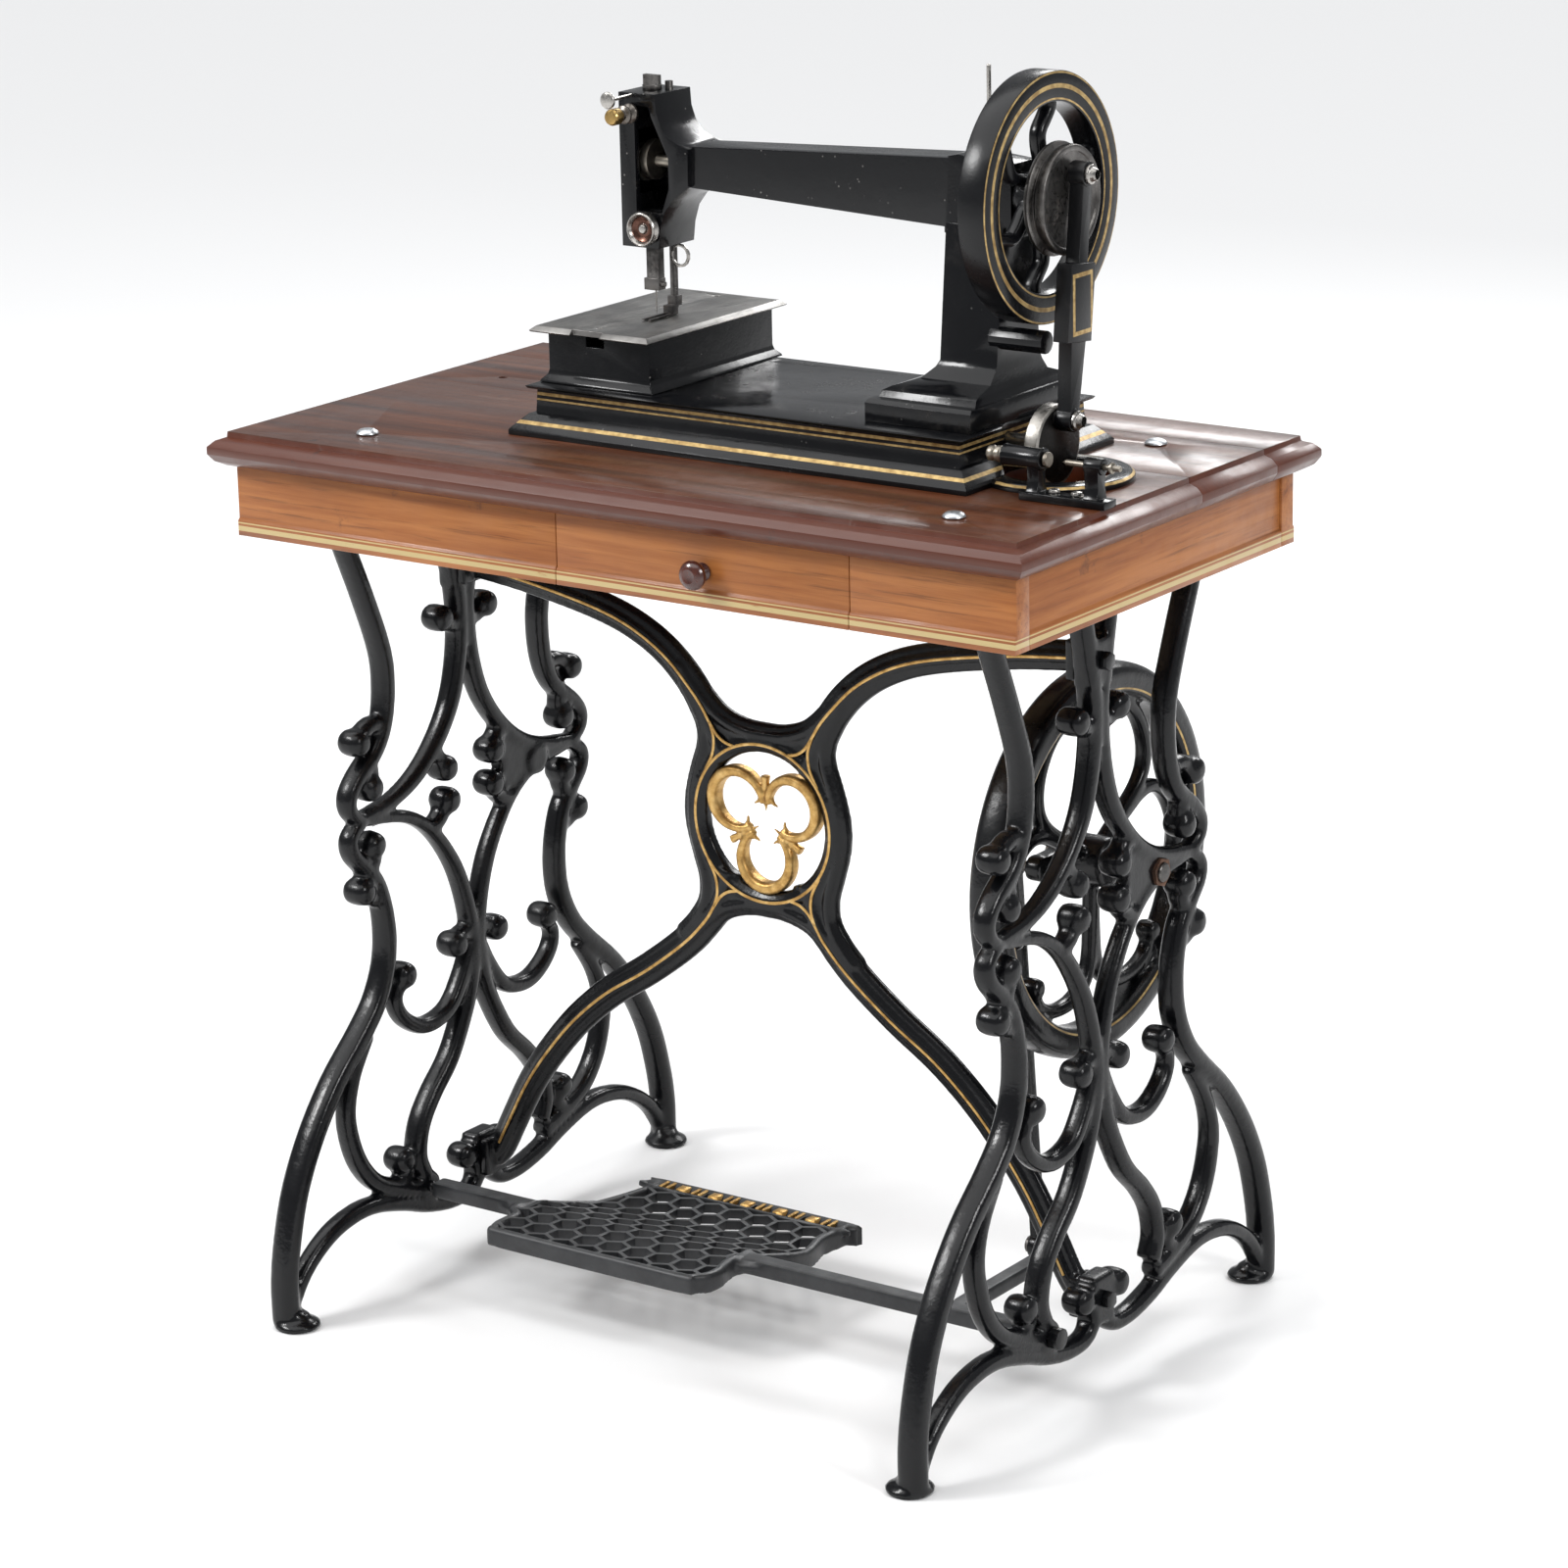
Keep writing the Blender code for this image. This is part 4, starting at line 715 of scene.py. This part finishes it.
def braceSection(wide, deep):
    # low ridge in front, round edges, flat back
    w, d = wide / 2, deep / 2
    return [(-w, d * 0.1), (-w * 0.94, -d * 0.28), (-w * 0.74, -d * 0.52), (-w * 0.36, -d * 0.62),
            (-w * 0.24, -d), (w * 0.24, -d), (w * 0.36, -d * 0.62), (w * 0.74, -d * 0.52),
            (w * 0.94, -d * 0.28), (w, d * 0.1), (w, d * 0.6), (w * 0.9, d), (-w * 0.9, d), (-w, d * 0.6)]


def crossBrace():
    bm = bmesh.new()
    hole = brace["hole"]
    ring = [(hole, -2.6), (hole + 0.9, -3.6), (63.6, -4.4), (64.8, -6.9), (70.2, -6.9), (71.4, -4.6),
            (80.6, -3.6), (82.6, -2.0), (83, 0), (83, 5), (81.8, 6.6), (hole + 1, 6.6), (hole, 5.4)]
    latheInto(bm, ring, "Y", (0, 0, brace["z"] / 1000), 72)
    for mirror in (-1, 1):
        for key, wide in (("upper", 0.0290), ("lower", 0.0295)):
            section = braceSection(wide, 0.0136)
            path = smoothPath(flat(brace[key], "Y", 0, mirror))
            sweepBar(bm, path, "Y", section, lambda share: 1.0 - 0.14 * share)
        sweepBar(bm, smoothPath(flat(brace["side web"], "Y", 0, mirror)), "Y", braceSection(0.017, 0.0122))
        for z in (0.6055, 0.073):
            low, high = sorted((mirror * 0.2985, mirror * 0.3068))
            block(bm, (low, -0.0133, z - 0.0168), (high, 0.0133, z + 0.0168))
    for key in ("top web", "foot web"):
        sweepBar(bm, smoothPath(flat(brace[key], "Y", 0)), "Y", braceSection(0.020, 0.0124))
    closeUp(bm)
    return cast(bm, brace["voxel"], brace["ease"])


show("cross_brace_cast", crossBrace(), "frame_iron", ("cross_brace",))


def giltLines():
    bm = bmesh.new()
    section = roundSection(0.0027, 0.0012, 8)
    circle = [polar((0, brace["z"]), brace["line ring"], 5 * i) for i in range(72)]
    path = flat([tuple(p) for p in circle], "Y", brace["front"])
    sweepBar(bm, path, "Y", section, closed=True)
    for mirror in (-1, 1):
        for key in ("upper line", "lower line"):
            sweepBar(bm, smoothPath(flat(brace[key], "Y", brace["front"], mirror)), "Y", section,
                     lambda share: 1.0 - 0.1 * share)
        for key in ("side fork", "top fork"):
            for up in (1, -1):
                points = [(a, brace["z"] + up * (b - brace["z"])) for a, b in brace[key]]
                sweepBar(bm, smoothPath(flat(points, "Y", brace["front"] + 0.0003, mirror)), "Y", section)
    return closeUp(bm)


show("brace_gilt_lines", giltLines(), "gilt_iron", (), "stand")


def trefoil():
    # three open scrolls joined at leaf tips
    bm = bmesh.new()
    z = brace["z"]
    for angle in (90, 210, 330):
        centre = polar((0, z), 31.5, angle + 180)
        arcPoints = [polar(centre, 24.6, angle + 30 + 300 * i / 18) for i in range(19)]
        path = smoothPath(flat([tuple(p) for p in arcPoints], "Y", 0), 3)
        sweepBar(bm, path, "Y", roundSection(0.0086, 0.0128, 12, 3.2),
                 lambda share: 0.50 + 0.72 * math.sin(math.pi * share) ** 0.7)
        tip = [tuple(polar((0, z), r, angle)) for r in (40, 33, 25, 17, 9)]
        sweepBar(bm, smoothPath(flat(tip, "Y", 0), 3), "Y", roundSection(0.0072, 0.0080),
                 lambda share: 1.05 - 0.85 * share)
        for lean in (-1, 1):
            leaf = [tuple(polar((0, z), r, angle + lean * a))
                    for r, a in ((25, 0), (22, 12), (18.5, 25), (19, 40))]
            sweepBar(bm, smoothPath(flat(leaf, "Y", 0), 3), "Y", roundSection(0.0054, 0.0066),
                     lambda share: 1.1 - 0.85 * share)
    closeUp(bm)
    return cast(bm, 0.0010, 2)


show("brace_trefoil_cast", trefoil(), "gilt_iron", ("brace_trefoil",))
print("brace done")


# stand flywheel
fast = {"x": 257, "y": 0.090, "z": 0.409, "voxel": 0.0021, "ease": 3,
        # spokes as (radius, degrees to the side), then the crank's boss
        "scroll": ((18, 0), (60, 1.5), (85, 3), (103, 8), (117, 17), (127, 28), (131, 38), (126, 46)),
        "crank": ((0, 226.6), (10.2, 226.6), (10.9, 227.4), (10.9, 239.6), (10.2, 240.2), (0, 240.2)),
        "crank hub": ((0, 226.4), (18.6, 226.4), (19.4, 227.4), (19.4, 241), (0, 241))}


def flywheelCast():
    bm = bmesh.new()
    x, y, z = fast["x"], fast["y"], fast["z"]
    centre = (y * 1000, z * 1000)
    rim = [(137, x - 9), (138.5, x - 13), (142, x - 15.6), (153, x - 15.9), (158, x - 14.4), (162, x - 9.5),
           (162.9, x - 4), (162.9, x + 4), (162, x + 9.5), (158, x + 14.4), (153, x + 15.9), (142, x + 15.6),
           (138.5, x + 13), (137, x + 9)]
    latheInto(bm, rim, "X", (0, y, z), 96)
    hub = [(0, x - 17), (19.5, x - 17), (20.8, x - 15), (20.8, x + 18.5), (19, x + 20.8), (0, x + 20.8)]
    latheInto(bm, hub, "X", (0, y, z), 40)
    latheInto(bm, fast["crank hub"], "X", (0, y, z), 36)
    latheInto(bm, fast["crank"], "X", (0, y - 0.042, z), 28)
    block(bm, (0.2268, y - 0.042, z - 0.0093), (0.2399, y - 0.004, z + 0.0093))
    for angle in (30, 150, 270):
        for side in (-1, 1):
            points = [tuple(polar(centre, r, angle + side * lean)) for r, lean in fast["scroll"]]
            sweepBar(bm, smoothPath(flat(points, "X", x / 1000)), "X", roundSection(0.0122, 0.0138))
            ball = polar(centre, 123, angle + side * 46.5)
            profile = [(0, x - 10), (5, x - 9.6), (8.2, x - 7.4), (9.4, x), (8.2, x + 7.4), (5, x + 9.6),
                       (0, x + 10)]
            latheInto(bm, profile, "X", (0, ball[0] / 1000, ball[1] / 1000), 18)
    closeUp(bm)
    return cast(bm, fast["voxel"], fast["ease"])


show("flywheel_cast", flywheelCast(), "wheel_iron", ("flywheel",))
print("flywheel done")


# handwheel of the machine
hand = {"x": (255.6, 279.4), "centre": (0.003, 0.963), "spokes": 6,
        "bend": ((14, -14), (26, -6), (38, 2), (50, 2), (60, -6), (68, -10), (75, -9))}


def handwheel():
    low, high = hand["x"]
    rim = [(73, low + 2.2), (73.6, low + 0.6), (75, low), (95.4, low), (96.6, low + 0.6), (97, low + 1.8),
           (97, high - 1.8), (96.6, high - 0.6), (95.4, high), (75, high), (73.6, high - 0.6),
           (73, high - 2.2)]
    lathe("handwheel_rim", rim, "X", (0, *hand["centre"]), "hand_iron", ("handwheel",), 0, 128)
    bm = bmesh.new()
    centre = tuple(v * 1000 for v in hand["centre"])
    middle = (low + high) / 2000
    for i in range(hand["spokes"]):
        points = [tuple(polar(centre, r, 90 + 360 / hand["spokes"] * i + lean)) for r, lean in hand["bend"]]
        sweepBar(bm, smoothPath(flat(points, "X", middle)), "X", roundSection(0.0105, 0.0135),
                 lambda share: 1.0 + 0.5 * max(0.0, abs(share - 0.5) - 0.28))
    hub = [(0, low + 0.2), (18.4, low + 0.2), (19.4, low + 1.4), (19.4, high - 1.2), (18.6, high - 0.2),
           (0, high - 0.2)]
    latheInto(bm, hub, "X", (0, *hand["centre"]), 40)
    closeUp(bm)
    show("handwheel_spokes", cast(bm, 0.0014, 4), "hand_iron", (), "arm_shaft")


handwheel()
print("handwheel done")


# treadle plate: honeycomb over two levels, rim, bar and lever
treadle = {
    "pitch": 25.6, "wall": 4.4, "thick": 0.008, "levels": ((-157, 80), (-88, 76), (-12, 58), (61, 58)),
    "band": 40,
    "outline": (
        (-170, -157), (8, -157), (24, -152), (33, -140), (34, -122), (28, -104), (27, -84), (34, -60),
        (42, -36), (43, -14), (40, 4), (35, 22), (38, 43), (39, 55), (34, 61), (-158, 61), (-167, 55),
        (-169, 40), (-174, 18), (-183, -10), (-194, -38), (-208, -62), (-208, -98), (-196, -110),
        (-194, -135), (-187, -151)),
}


def levelAt(y):
    spots = treadle["levels"]
    for (y0, z0), (y1, z1) in zip(spots, spots[1:]):
        if y <= y1 or (y1, z1) == spots[-1]:
            share = min(max((y - y0) / (y1 - y0), 0), 1)
            return z0 + (z1 - z0) * share
    return spots[-1][1]


def drape(bm):
    # lifts a flat mesh onto the plate's levels
    for vert in bm.verts:
        vert.co.z += levelAt(vert.co.y * 1000) / 1000
    return bm


def shrunk(points, by):
    # outline moved inwards
    found = []
    count = len(points)
    for i, here in enumerate(points):
        before, after = Vector(points[i - 1]), Vector(points[(i + 1) % count])
        run = (after - before).normalized()
        found.append(Vector(here) + Vector((-run.y, run.x)) * by)
    return found


def honeycomb():
    # hexagons inset and emptied, cut to the plate's outline and laid on its levels
    bm = bmesh.new()
    pitch, wall = treadle["pitch"] / 1000, treadle["wall"] / 1000
    rowPitch = pitch * math.sqrt(3) / 2
    for row in range(-8, 5):
        for column in range(-9, 4):
            x = column * pitch + (pitch / 2 if row % 2 else 0) + 0.004
            y = row * rowPitch + 0.002
            bmesh.ops.create_circle(bm, cap_ends=True, radius=pitch / math.sqrt(3), segments=6,
                                    matrix=Matrix.Translation((x, y, 0)))
    bmesh.ops.remove_doubles(bm, verts=bm.verts, dist=1e-4)
    cells = list(bm.faces)
    bmesh.ops.inset_individual(bm, faces=cells, thickness=wall / 2, depth=0)
    bmesh.ops.delete(bm, geom=cells, context="FACES_ONLY")
    edge = shrunk(treadle["outline"], 4.0)
    bands = [v for v in bm.verts if v.co.y > treadle["band"] / 1000 + 0.03]
    bmesh.ops.delete(bm, geom=bands, context="VERTS")
    pullUp(bm, list(bm.faces), (0, 0, -treadle["thick"]))
    bmesh.ops.recalc_face_normals(bm, faces=bm.faces)
    keep = bmesh.new()
    face = keep.faces.new([keep.verts.new((p.x / 1000, p.y / 1000, -0.02)) for p in edge])
    pullUp(keep, [face], (0, 0, 0.04))
    bmesh.ops.recalc_face_normals(keep, faces=keep.faces)
    done = trimmed(bm, keep)
    bmesh.ops.dissolve_limit(done, angle_limit=math.radians(1), verts=done.verts, edges=done.edges)
    softEdges(done, 0.0006, 1, 60)
    bmesh.ops.triangulate(done, faces=[f for f in done.faces if len(f.verts) > 4])
    return drape(done)


def trimmed(bm, keep):
    # the part of a lattice that lies inside another closed shape
    lattice, cutter = newObject("lattice", bm), newObject("cutter", keep)
    cut = lattice.modifiers.new("cut", "BOOLEAN")
    cut.operation, cut.solver, cut.object = "INTERSECT", "EXACT", cutter
    made = modified(lattice)
    bpy.data.objects.remove(lattice)
    bpy.data.objects.remove(cutter)
    return made


def treadleCast():
    bm = bmesh.new()
    path = [Vector((p.x / 1000, p.y / 1000, -0.0080)) for p in shrunk(treadle["outline"], 5.0)]
    section = [(-0.0042, -0.0085), (0.0042, -0.0085), (0.0044, 0.0050), (0.0036, 0.0072), (0.0014, 0.0084),
               (-0.0014, 0.0084), (-0.0036, 0.0072), (-0.0044, 0.0050)]
    sweepBar(bm, smoothPath(path, 3, True), "Z", section, closed=True)
    block(bm, (-0.165, 0.0405, -0.0120), (0.034, 0.0600, -0.0030))
    frameBar = [(-163, 42), (32, 42), (35, 46), (35, 55), (31, 58), (-158, 58), (-163, 54)]
    ridge = [Vector((a / 1000, b / 1000, -0.0014)) for a, b in frameBar]
    sweepBar(bm, smoothPath(ridge, 3, True), "Z", roundSection(0.0038, 0.0060, 8), closed=True)
    closeUp(bm)
    bmesh.ops.subdivide_edges(bm, edges=[e for e in bm.edges if e.calc_length() > 0.02], cuts=6)
    drape(bm)
    block(bm, (-0.3003, -0.0884, 0.0611), (-0.2000, -0.0716, 0.0749))
    block(bm, (0.0280, -0.0884, 0.0611), (0.3003, -0.0716, 0.0749))
    for side, x in ((-1, -0.205), (1, 0.030)):
        flare = flat(((x * 1000 - side * 12, -80), (x * 1000, -80), (x * 1000 + side * 26, -80)), "Z", 0.068)
        section = roundSection(0.0400, 0.0136, 12, 4)
        sweepBar(bm, smoothPath(flare, 4), "Z", section, lambda share: 1 - 0.6 * share)
    block(bm, (0.2237, -0.080, 0.0622), (0.2373, 0.080, 0.0743))
    latheInto(bm, [(0, 223.9), (10.9, 223.9), (10.9, 237.1), (0, 237.1)], "X", (0, 0.080, 0.068), 28)
    bmesh.ops.recalc_face_normals(bm, faces=bm.faces)
    return cast(bm, 0.0019, 2)


show("treadle_cast", treadleCast(), "treadle_iron", ("treadle",))
show("treadle_honeycomb", honeycomb(), "treadle_iron", (), "treadle")


trim = {"count": 11, "first": -0.1500, "pitch": 0.0170, "y": 0.0505, "z": 0.0572}


def ornament():
    # plain gilt bars and lozenges by turns along the rear band
    bm = bmesh.new()
    y = trim["y"]
    eighthTurn = Matrix.Rotation(math.radians(45), 3, "Z")
    for i in range(trim["count"]):
        x = trim["first"] + trim["pitch"] * i
        if i % 2:
            place = Matrix.Translation((x, y, trim["z"]))
            lozenge = bmesh.ops.create_cone(bm, cap_ends=True, segments=4, radius1=0.0082, radius2=0.0066,
                                            depth=0.0044, matrix=place)["verts"]
            bmesh.ops.rotate(bm, cent=(x, y, 0), matrix=eighthTurn, verts=lozenge)
        else:
            for offset in (-0.0036, 0.0036):
                block(bm, (x + offset - 0.0017, 0.0437, 0.0545), (x + offset + 0.0017, 0.0573, 0.0592))
    return softEdges(closeUp(bm), 0.0004, 1, 30)


show("treadle_ornament", ornament(), "gilt_iron", (), "treadle")
print("treadle done")

# machine castings keep the frame's shapes, with their edges eased
show("machine_arm_cast", softEdges(cadCopy("machine_arm"), 0.0011, 3), "machine_iron", ("machine_arm",))
show("machine_base_cast", softEdges(cadCopy("machine_base"), 0.0006), "base_iron", ("machine_base",))
show("bed_block_cast", softEdges(cadCopy("bed_block"), 0.0008), "machine_iron", ("bed_block",))
show("rod_forging", softEdges(cadCopy("connecting_rod"), 0.0007), "rod_iron", ("connecting_rod",))
print("machine castings done")

# turned pieces: profile as (radius, place along the axis) in millimetres
disc = 279.8
turnedPieces = (
    ("crank_disc_turned", "crank_disc", "X", (0, 0.003, 0.963), "dark_steel",
     [(0, 289.5), (5.4, 289.5), (5.4, disc), (40.5, disc), (43, disc + 0.3), (44, disc + 1.4), (44, disc + 4),
      (41.5, disc + 5), (39, disc + 6.5), (39, disc + 8), (41.2, disc + 9.6), (42.5, disc + 10.5),
      (42.5, 295), (42, 296.4), (41, 297), (39, 297), (37.5, 296.4), (36.6, 295.2), (14, 295.2),
      (12.5, 295.6), (0, 295.6)]),
    ("drawer_knob_turned", "drawer_knob", "Y", (0.0925, 0, 0.691), "knob_wood",
     [(0, -204.8), (7.2, -204.8), (7.4, -205.8), (5.8, -207.4), (4.7, -209.6), (5.0, -211.8), (7.4, -213.6),
      (10.4, -215.2), (11.7, -217.6), (11.6, -219.8), (10.2, -222.2), (7.6, -224.0), (5.6, -224.5),
      (4.2, -224.0), (0, -223.8)]),
    ("cup_disc_turned", "cup_disc", "Y", (-0.0885, 0, 0.9125), "cup_nickel",
     [(0, -21.3), (10, -21.3), (12, -23.6), (13.4, -24.6), (13.9, -25.6), (13.9, -31), (13.2, -32.2),
      (12.4, -32.4), (11.4, -31.2), (10, -28.6), (6.5, -27.2), (4.2, -27.4), (3.6, -29.0), (3.0, -29.6),
      (0, -29.8)]),
    ("tension_knob_turned", "tension_knob", "Y", (-0.1013, 0, 1.0040), "brass",
     [(0, -21.3), (6, -21.3), (8, -23), (8.0, -25.6), (6.6, -27.0), (4.4, -28.2), (4.4, -30.4), (7.4, -31.2),
      (7.4, -33.0), (4.2, -34), (3.6, -38.6), (6.2, -40), (6.7, -41), (6.7, -48), (5.6, -50), (2.4, -50.5),
      (0, -50.5)]),
    ("thumb_wheel_turned", "thumb_wheel", "Y", (-0.1013, 0, 1.0181), "nickel",
     [(0, -21.3), (1.6, -21.3), (1.6, -50.6), (6.2, -50.9), (6.8, -51.6), (6.8, -53.4), (6.2, -54.2),
      (3, -55), (0, -55.4)]),
    ("flywheel_stud_turned", "flywheel_stud", "X", (0, 0.090, 0.409), "dark_steel",
     [(0, 219.5), (11, 219.5), (12, 220.5), (12, 225.7), (8, 225.7), (8, 326.6), (7, 327.5), (0, 327.5)]),
    ("spool_pin_turned", "spool_pin", "Z", (0.2225, 0.003, 0), "nickel",
     [(0, 985), (1.8, 985), (1.8, 1060.6), (1.3, 1061.6), (0, 1062)]),
    ("needle_turned", "needle", "Z", (-0.089, -0.012, 0), "nickel",
     [(0, 841), (0.25, 842), (0.6, 847), (0.7, 852), (0.7, 867), (0, 867)]),
    ("winder_spindle_turned", "winder_spindle", "X", (0, -0.082, 0.781), "cam_steel",
     [(0, 274.5), (4.4, 274.5), (5.6, 275.6), (6, 277), (6, 279.6), (4.6, 281), (4.6, 281.8), (6.4, 282.8),
      (6.4, 286), (5.6, 286.8), (5.4, 288), (5.4, 308), (4.6, 308.5), (3.1, 309), (3.1, 325.5), (5.4, 325.5),
      (6, 326), (6, 328.4), (5.2, 329), (0, 329)]),
    ("winder_centre_turned", "winder_centre", "X", (0, -0.082, 0.781), "cam_steel",
     [(0, 340), (1.2, 342.6), (2.3, 344), (2.3, 383), (4.3, 383.3), (4.5, 383.8), (4.5, 385), (4.2, 385.4),
      (2.3, 385.6), (2.3, 391.4), (1.8, 392), (0, 392)]),
)
for name, node, axis, centre, finish, profile in turnedPieces:
    lathe(name, profile, axis, centre, finish, (node,))
boltProfile = [(0, 708), (3.7, 708), (3.7, 750.3), (8.6, 750.3), (9.2, 750.9), (8.4, 752.4), (6.4, 753.9),
               (3.4, 754.7), (0, 754.9)]
boltPlaces = {"top_bolt_front_left": (-0.274, -0.160, 0), "top_bolt_front_right": (0.297, -0.165, 0),
              "top_bolt_rear_right": (0.298, 0.124, 0)}
for node, centre in boltPlaces.items():
    lathe(node + "_domed", boltProfile, "Z", centre, "zinc", (node,))
# fixed sleeve that the winder's spindle turns in
barrelProfile = [(6.2, 289), (8.6, 289.4), (8.8, 290.4), (8.2, 292), (8.2, 321.5), (8.8, 323), (8.6, 324.2),
                 (6.2, 324.6)]
lathe("winder_barrel", barrelProfile, "X", (0, -0.082, 0.781), "machine_iron", body="stand")
print("turned pieces done")

# what is left keeps the frame's shape too; rows give the width of the eased edge in metres and the finish
easedRows = (
    (0.0009, "walnut_top", ("top_board_front", "top_board_middle", "top_board_rear")),
    (0.0006, "apron_wood", ("apron_front_left", "apron_front_right", "apron_rear", "drawer_front")),
    (0.0006, "apron_side", ("apron_left", "apron_right")),
    (0.0004, "worn_steel", ("needle_plate",)),
    (0.0007, "machine_iron", ("winder_bracket",)),
    (0.0004, "cam_steel", ("arm_shaft",)),
    (0.0006, "disc_steel", ("lower_crank",)),
    (0.0005, "dark_steel", ("top_screw",)),
    (0.0010, "frame_iron", ("pitman_rod",)),
    (0.0004, "frame_iron", ("treadle_pivot_left", "treadle_pivot_right")),
    (0.0006, "frame_iron", ("brace_bolt_left_upper", "brace_bolt_left_lower", "brace_bolt_right_upper",
                            "brace_bolt_right_lower")),
)
easedPieces = {node: (width, finish) for width, finish, nodes in easedRows for node in nodes}
smallEdge = 0.0003
shown = {row for piece in scene.objects if "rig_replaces" in piece for row in piece["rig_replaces"]}
for node in sorted(bodyFor):
    if node not in shown:
        width, finish = easedPieces.get(node, (smallEdge, slotFor[node]))
        show(node + "_eased", softEdges(cadCopy(node), width), finish, (node,))
print("eased pieces done")

# floor, lights and camera
floorFinish = Finish("pale floor", roughness=0.7)
floorFinish.set("Base Color", (0.80, 0.80, 0.80))
ground = bmesh.new()
bmesh.ops.create_grid(ground, x_segments=1, y_segments=1, size=40)
floor = newObject("floor", ground)
floor.data.materials.append(floorFinish.material)

world = bpy.data.worlds.new("studio")
scene.world = world
world.use_nodes = True
backdrop = world.node_tree.nodes["Background"].inputs
backdrop["Color"].default_value = (0.95, 0.97, 1.0, 1.0)
backdrop["Strength"].default_value = 0.36

lights = (
    # name, place, aimed at, width, height, power
    ("key", (-2.4, -2.6, 3.2), (0, 0, 0.5), 1.1, 0.9, 95),
    ("fill", (3.4, -0.6, 2.6), (0, 0, 0.5), 0.8, 1.2, 60),
    ("back", (-0.4, 3.4, 2.6), (0, 0, 0.6), 2.6, 0.8, 70),
)
for name, place, target, width, height, power in lights:
    lamp = bpy.data.lights.new(name, "AREA")
    lamp.shape, lamp.size, lamp.size_y, lamp.energy = "RECTANGLE", width, height, power
    holder = bpy.data.objects.new(name, lamp)
    holder.location = place
    holder.rotation_euler = (Vector(target) - Vector(place)).to_track_quat("-Z", "Y").to_euler()
    scene.collection.objects.link(holder)
sun = bpy.data.lights.new("sky", "SUN")
sun.energy, sun.angle = 2.4, math.radians(80)
sunHolder = bpy.data.objects.new("sky", sun)
sunHolder.rotation_euler = (math.radians(12), math.radians(-10), 0)
scene.collection.objects.link(sunHolder)

view = {"place": (2.3308, -3.2442, 1.6264), "yaw": 35.480, "pitch": 16.334, "roll": -1.231, "lens": 116.514}
lens = bpy.data.cameras.new("camera")
lens.sensor_width, lens.lens = 36.0, view["lens"]
lens.clip_end = 200
camera = bpy.data.objects.new("camera", lens)
yaw, pitch, roll = (math.radians(view[key]) for key in ("yaw", "pitch", "roll"))
forward = Vector((-math.sin(yaw) * math.cos(pitch), math.cos(yaw) * math.cos(pitch), -math.sin(pitch)))
right = forward.cross(Vector((0, 0, 1))).normalized()
up = right.cross(forward)
right, up = (math.cos(roll) * right + math.sin(roll) * up, math.cos(roll) * up - math.sin(roll) * right)
camera.matrix_world = Matrix((right, up, -forward)).transposed().to_4x4()
camera.location = view["place"]
scene.collection.objects.link(camera)
scene.camera = camera
scene.view_settings.view_transform = "Standard"
print("camera and lights placed")
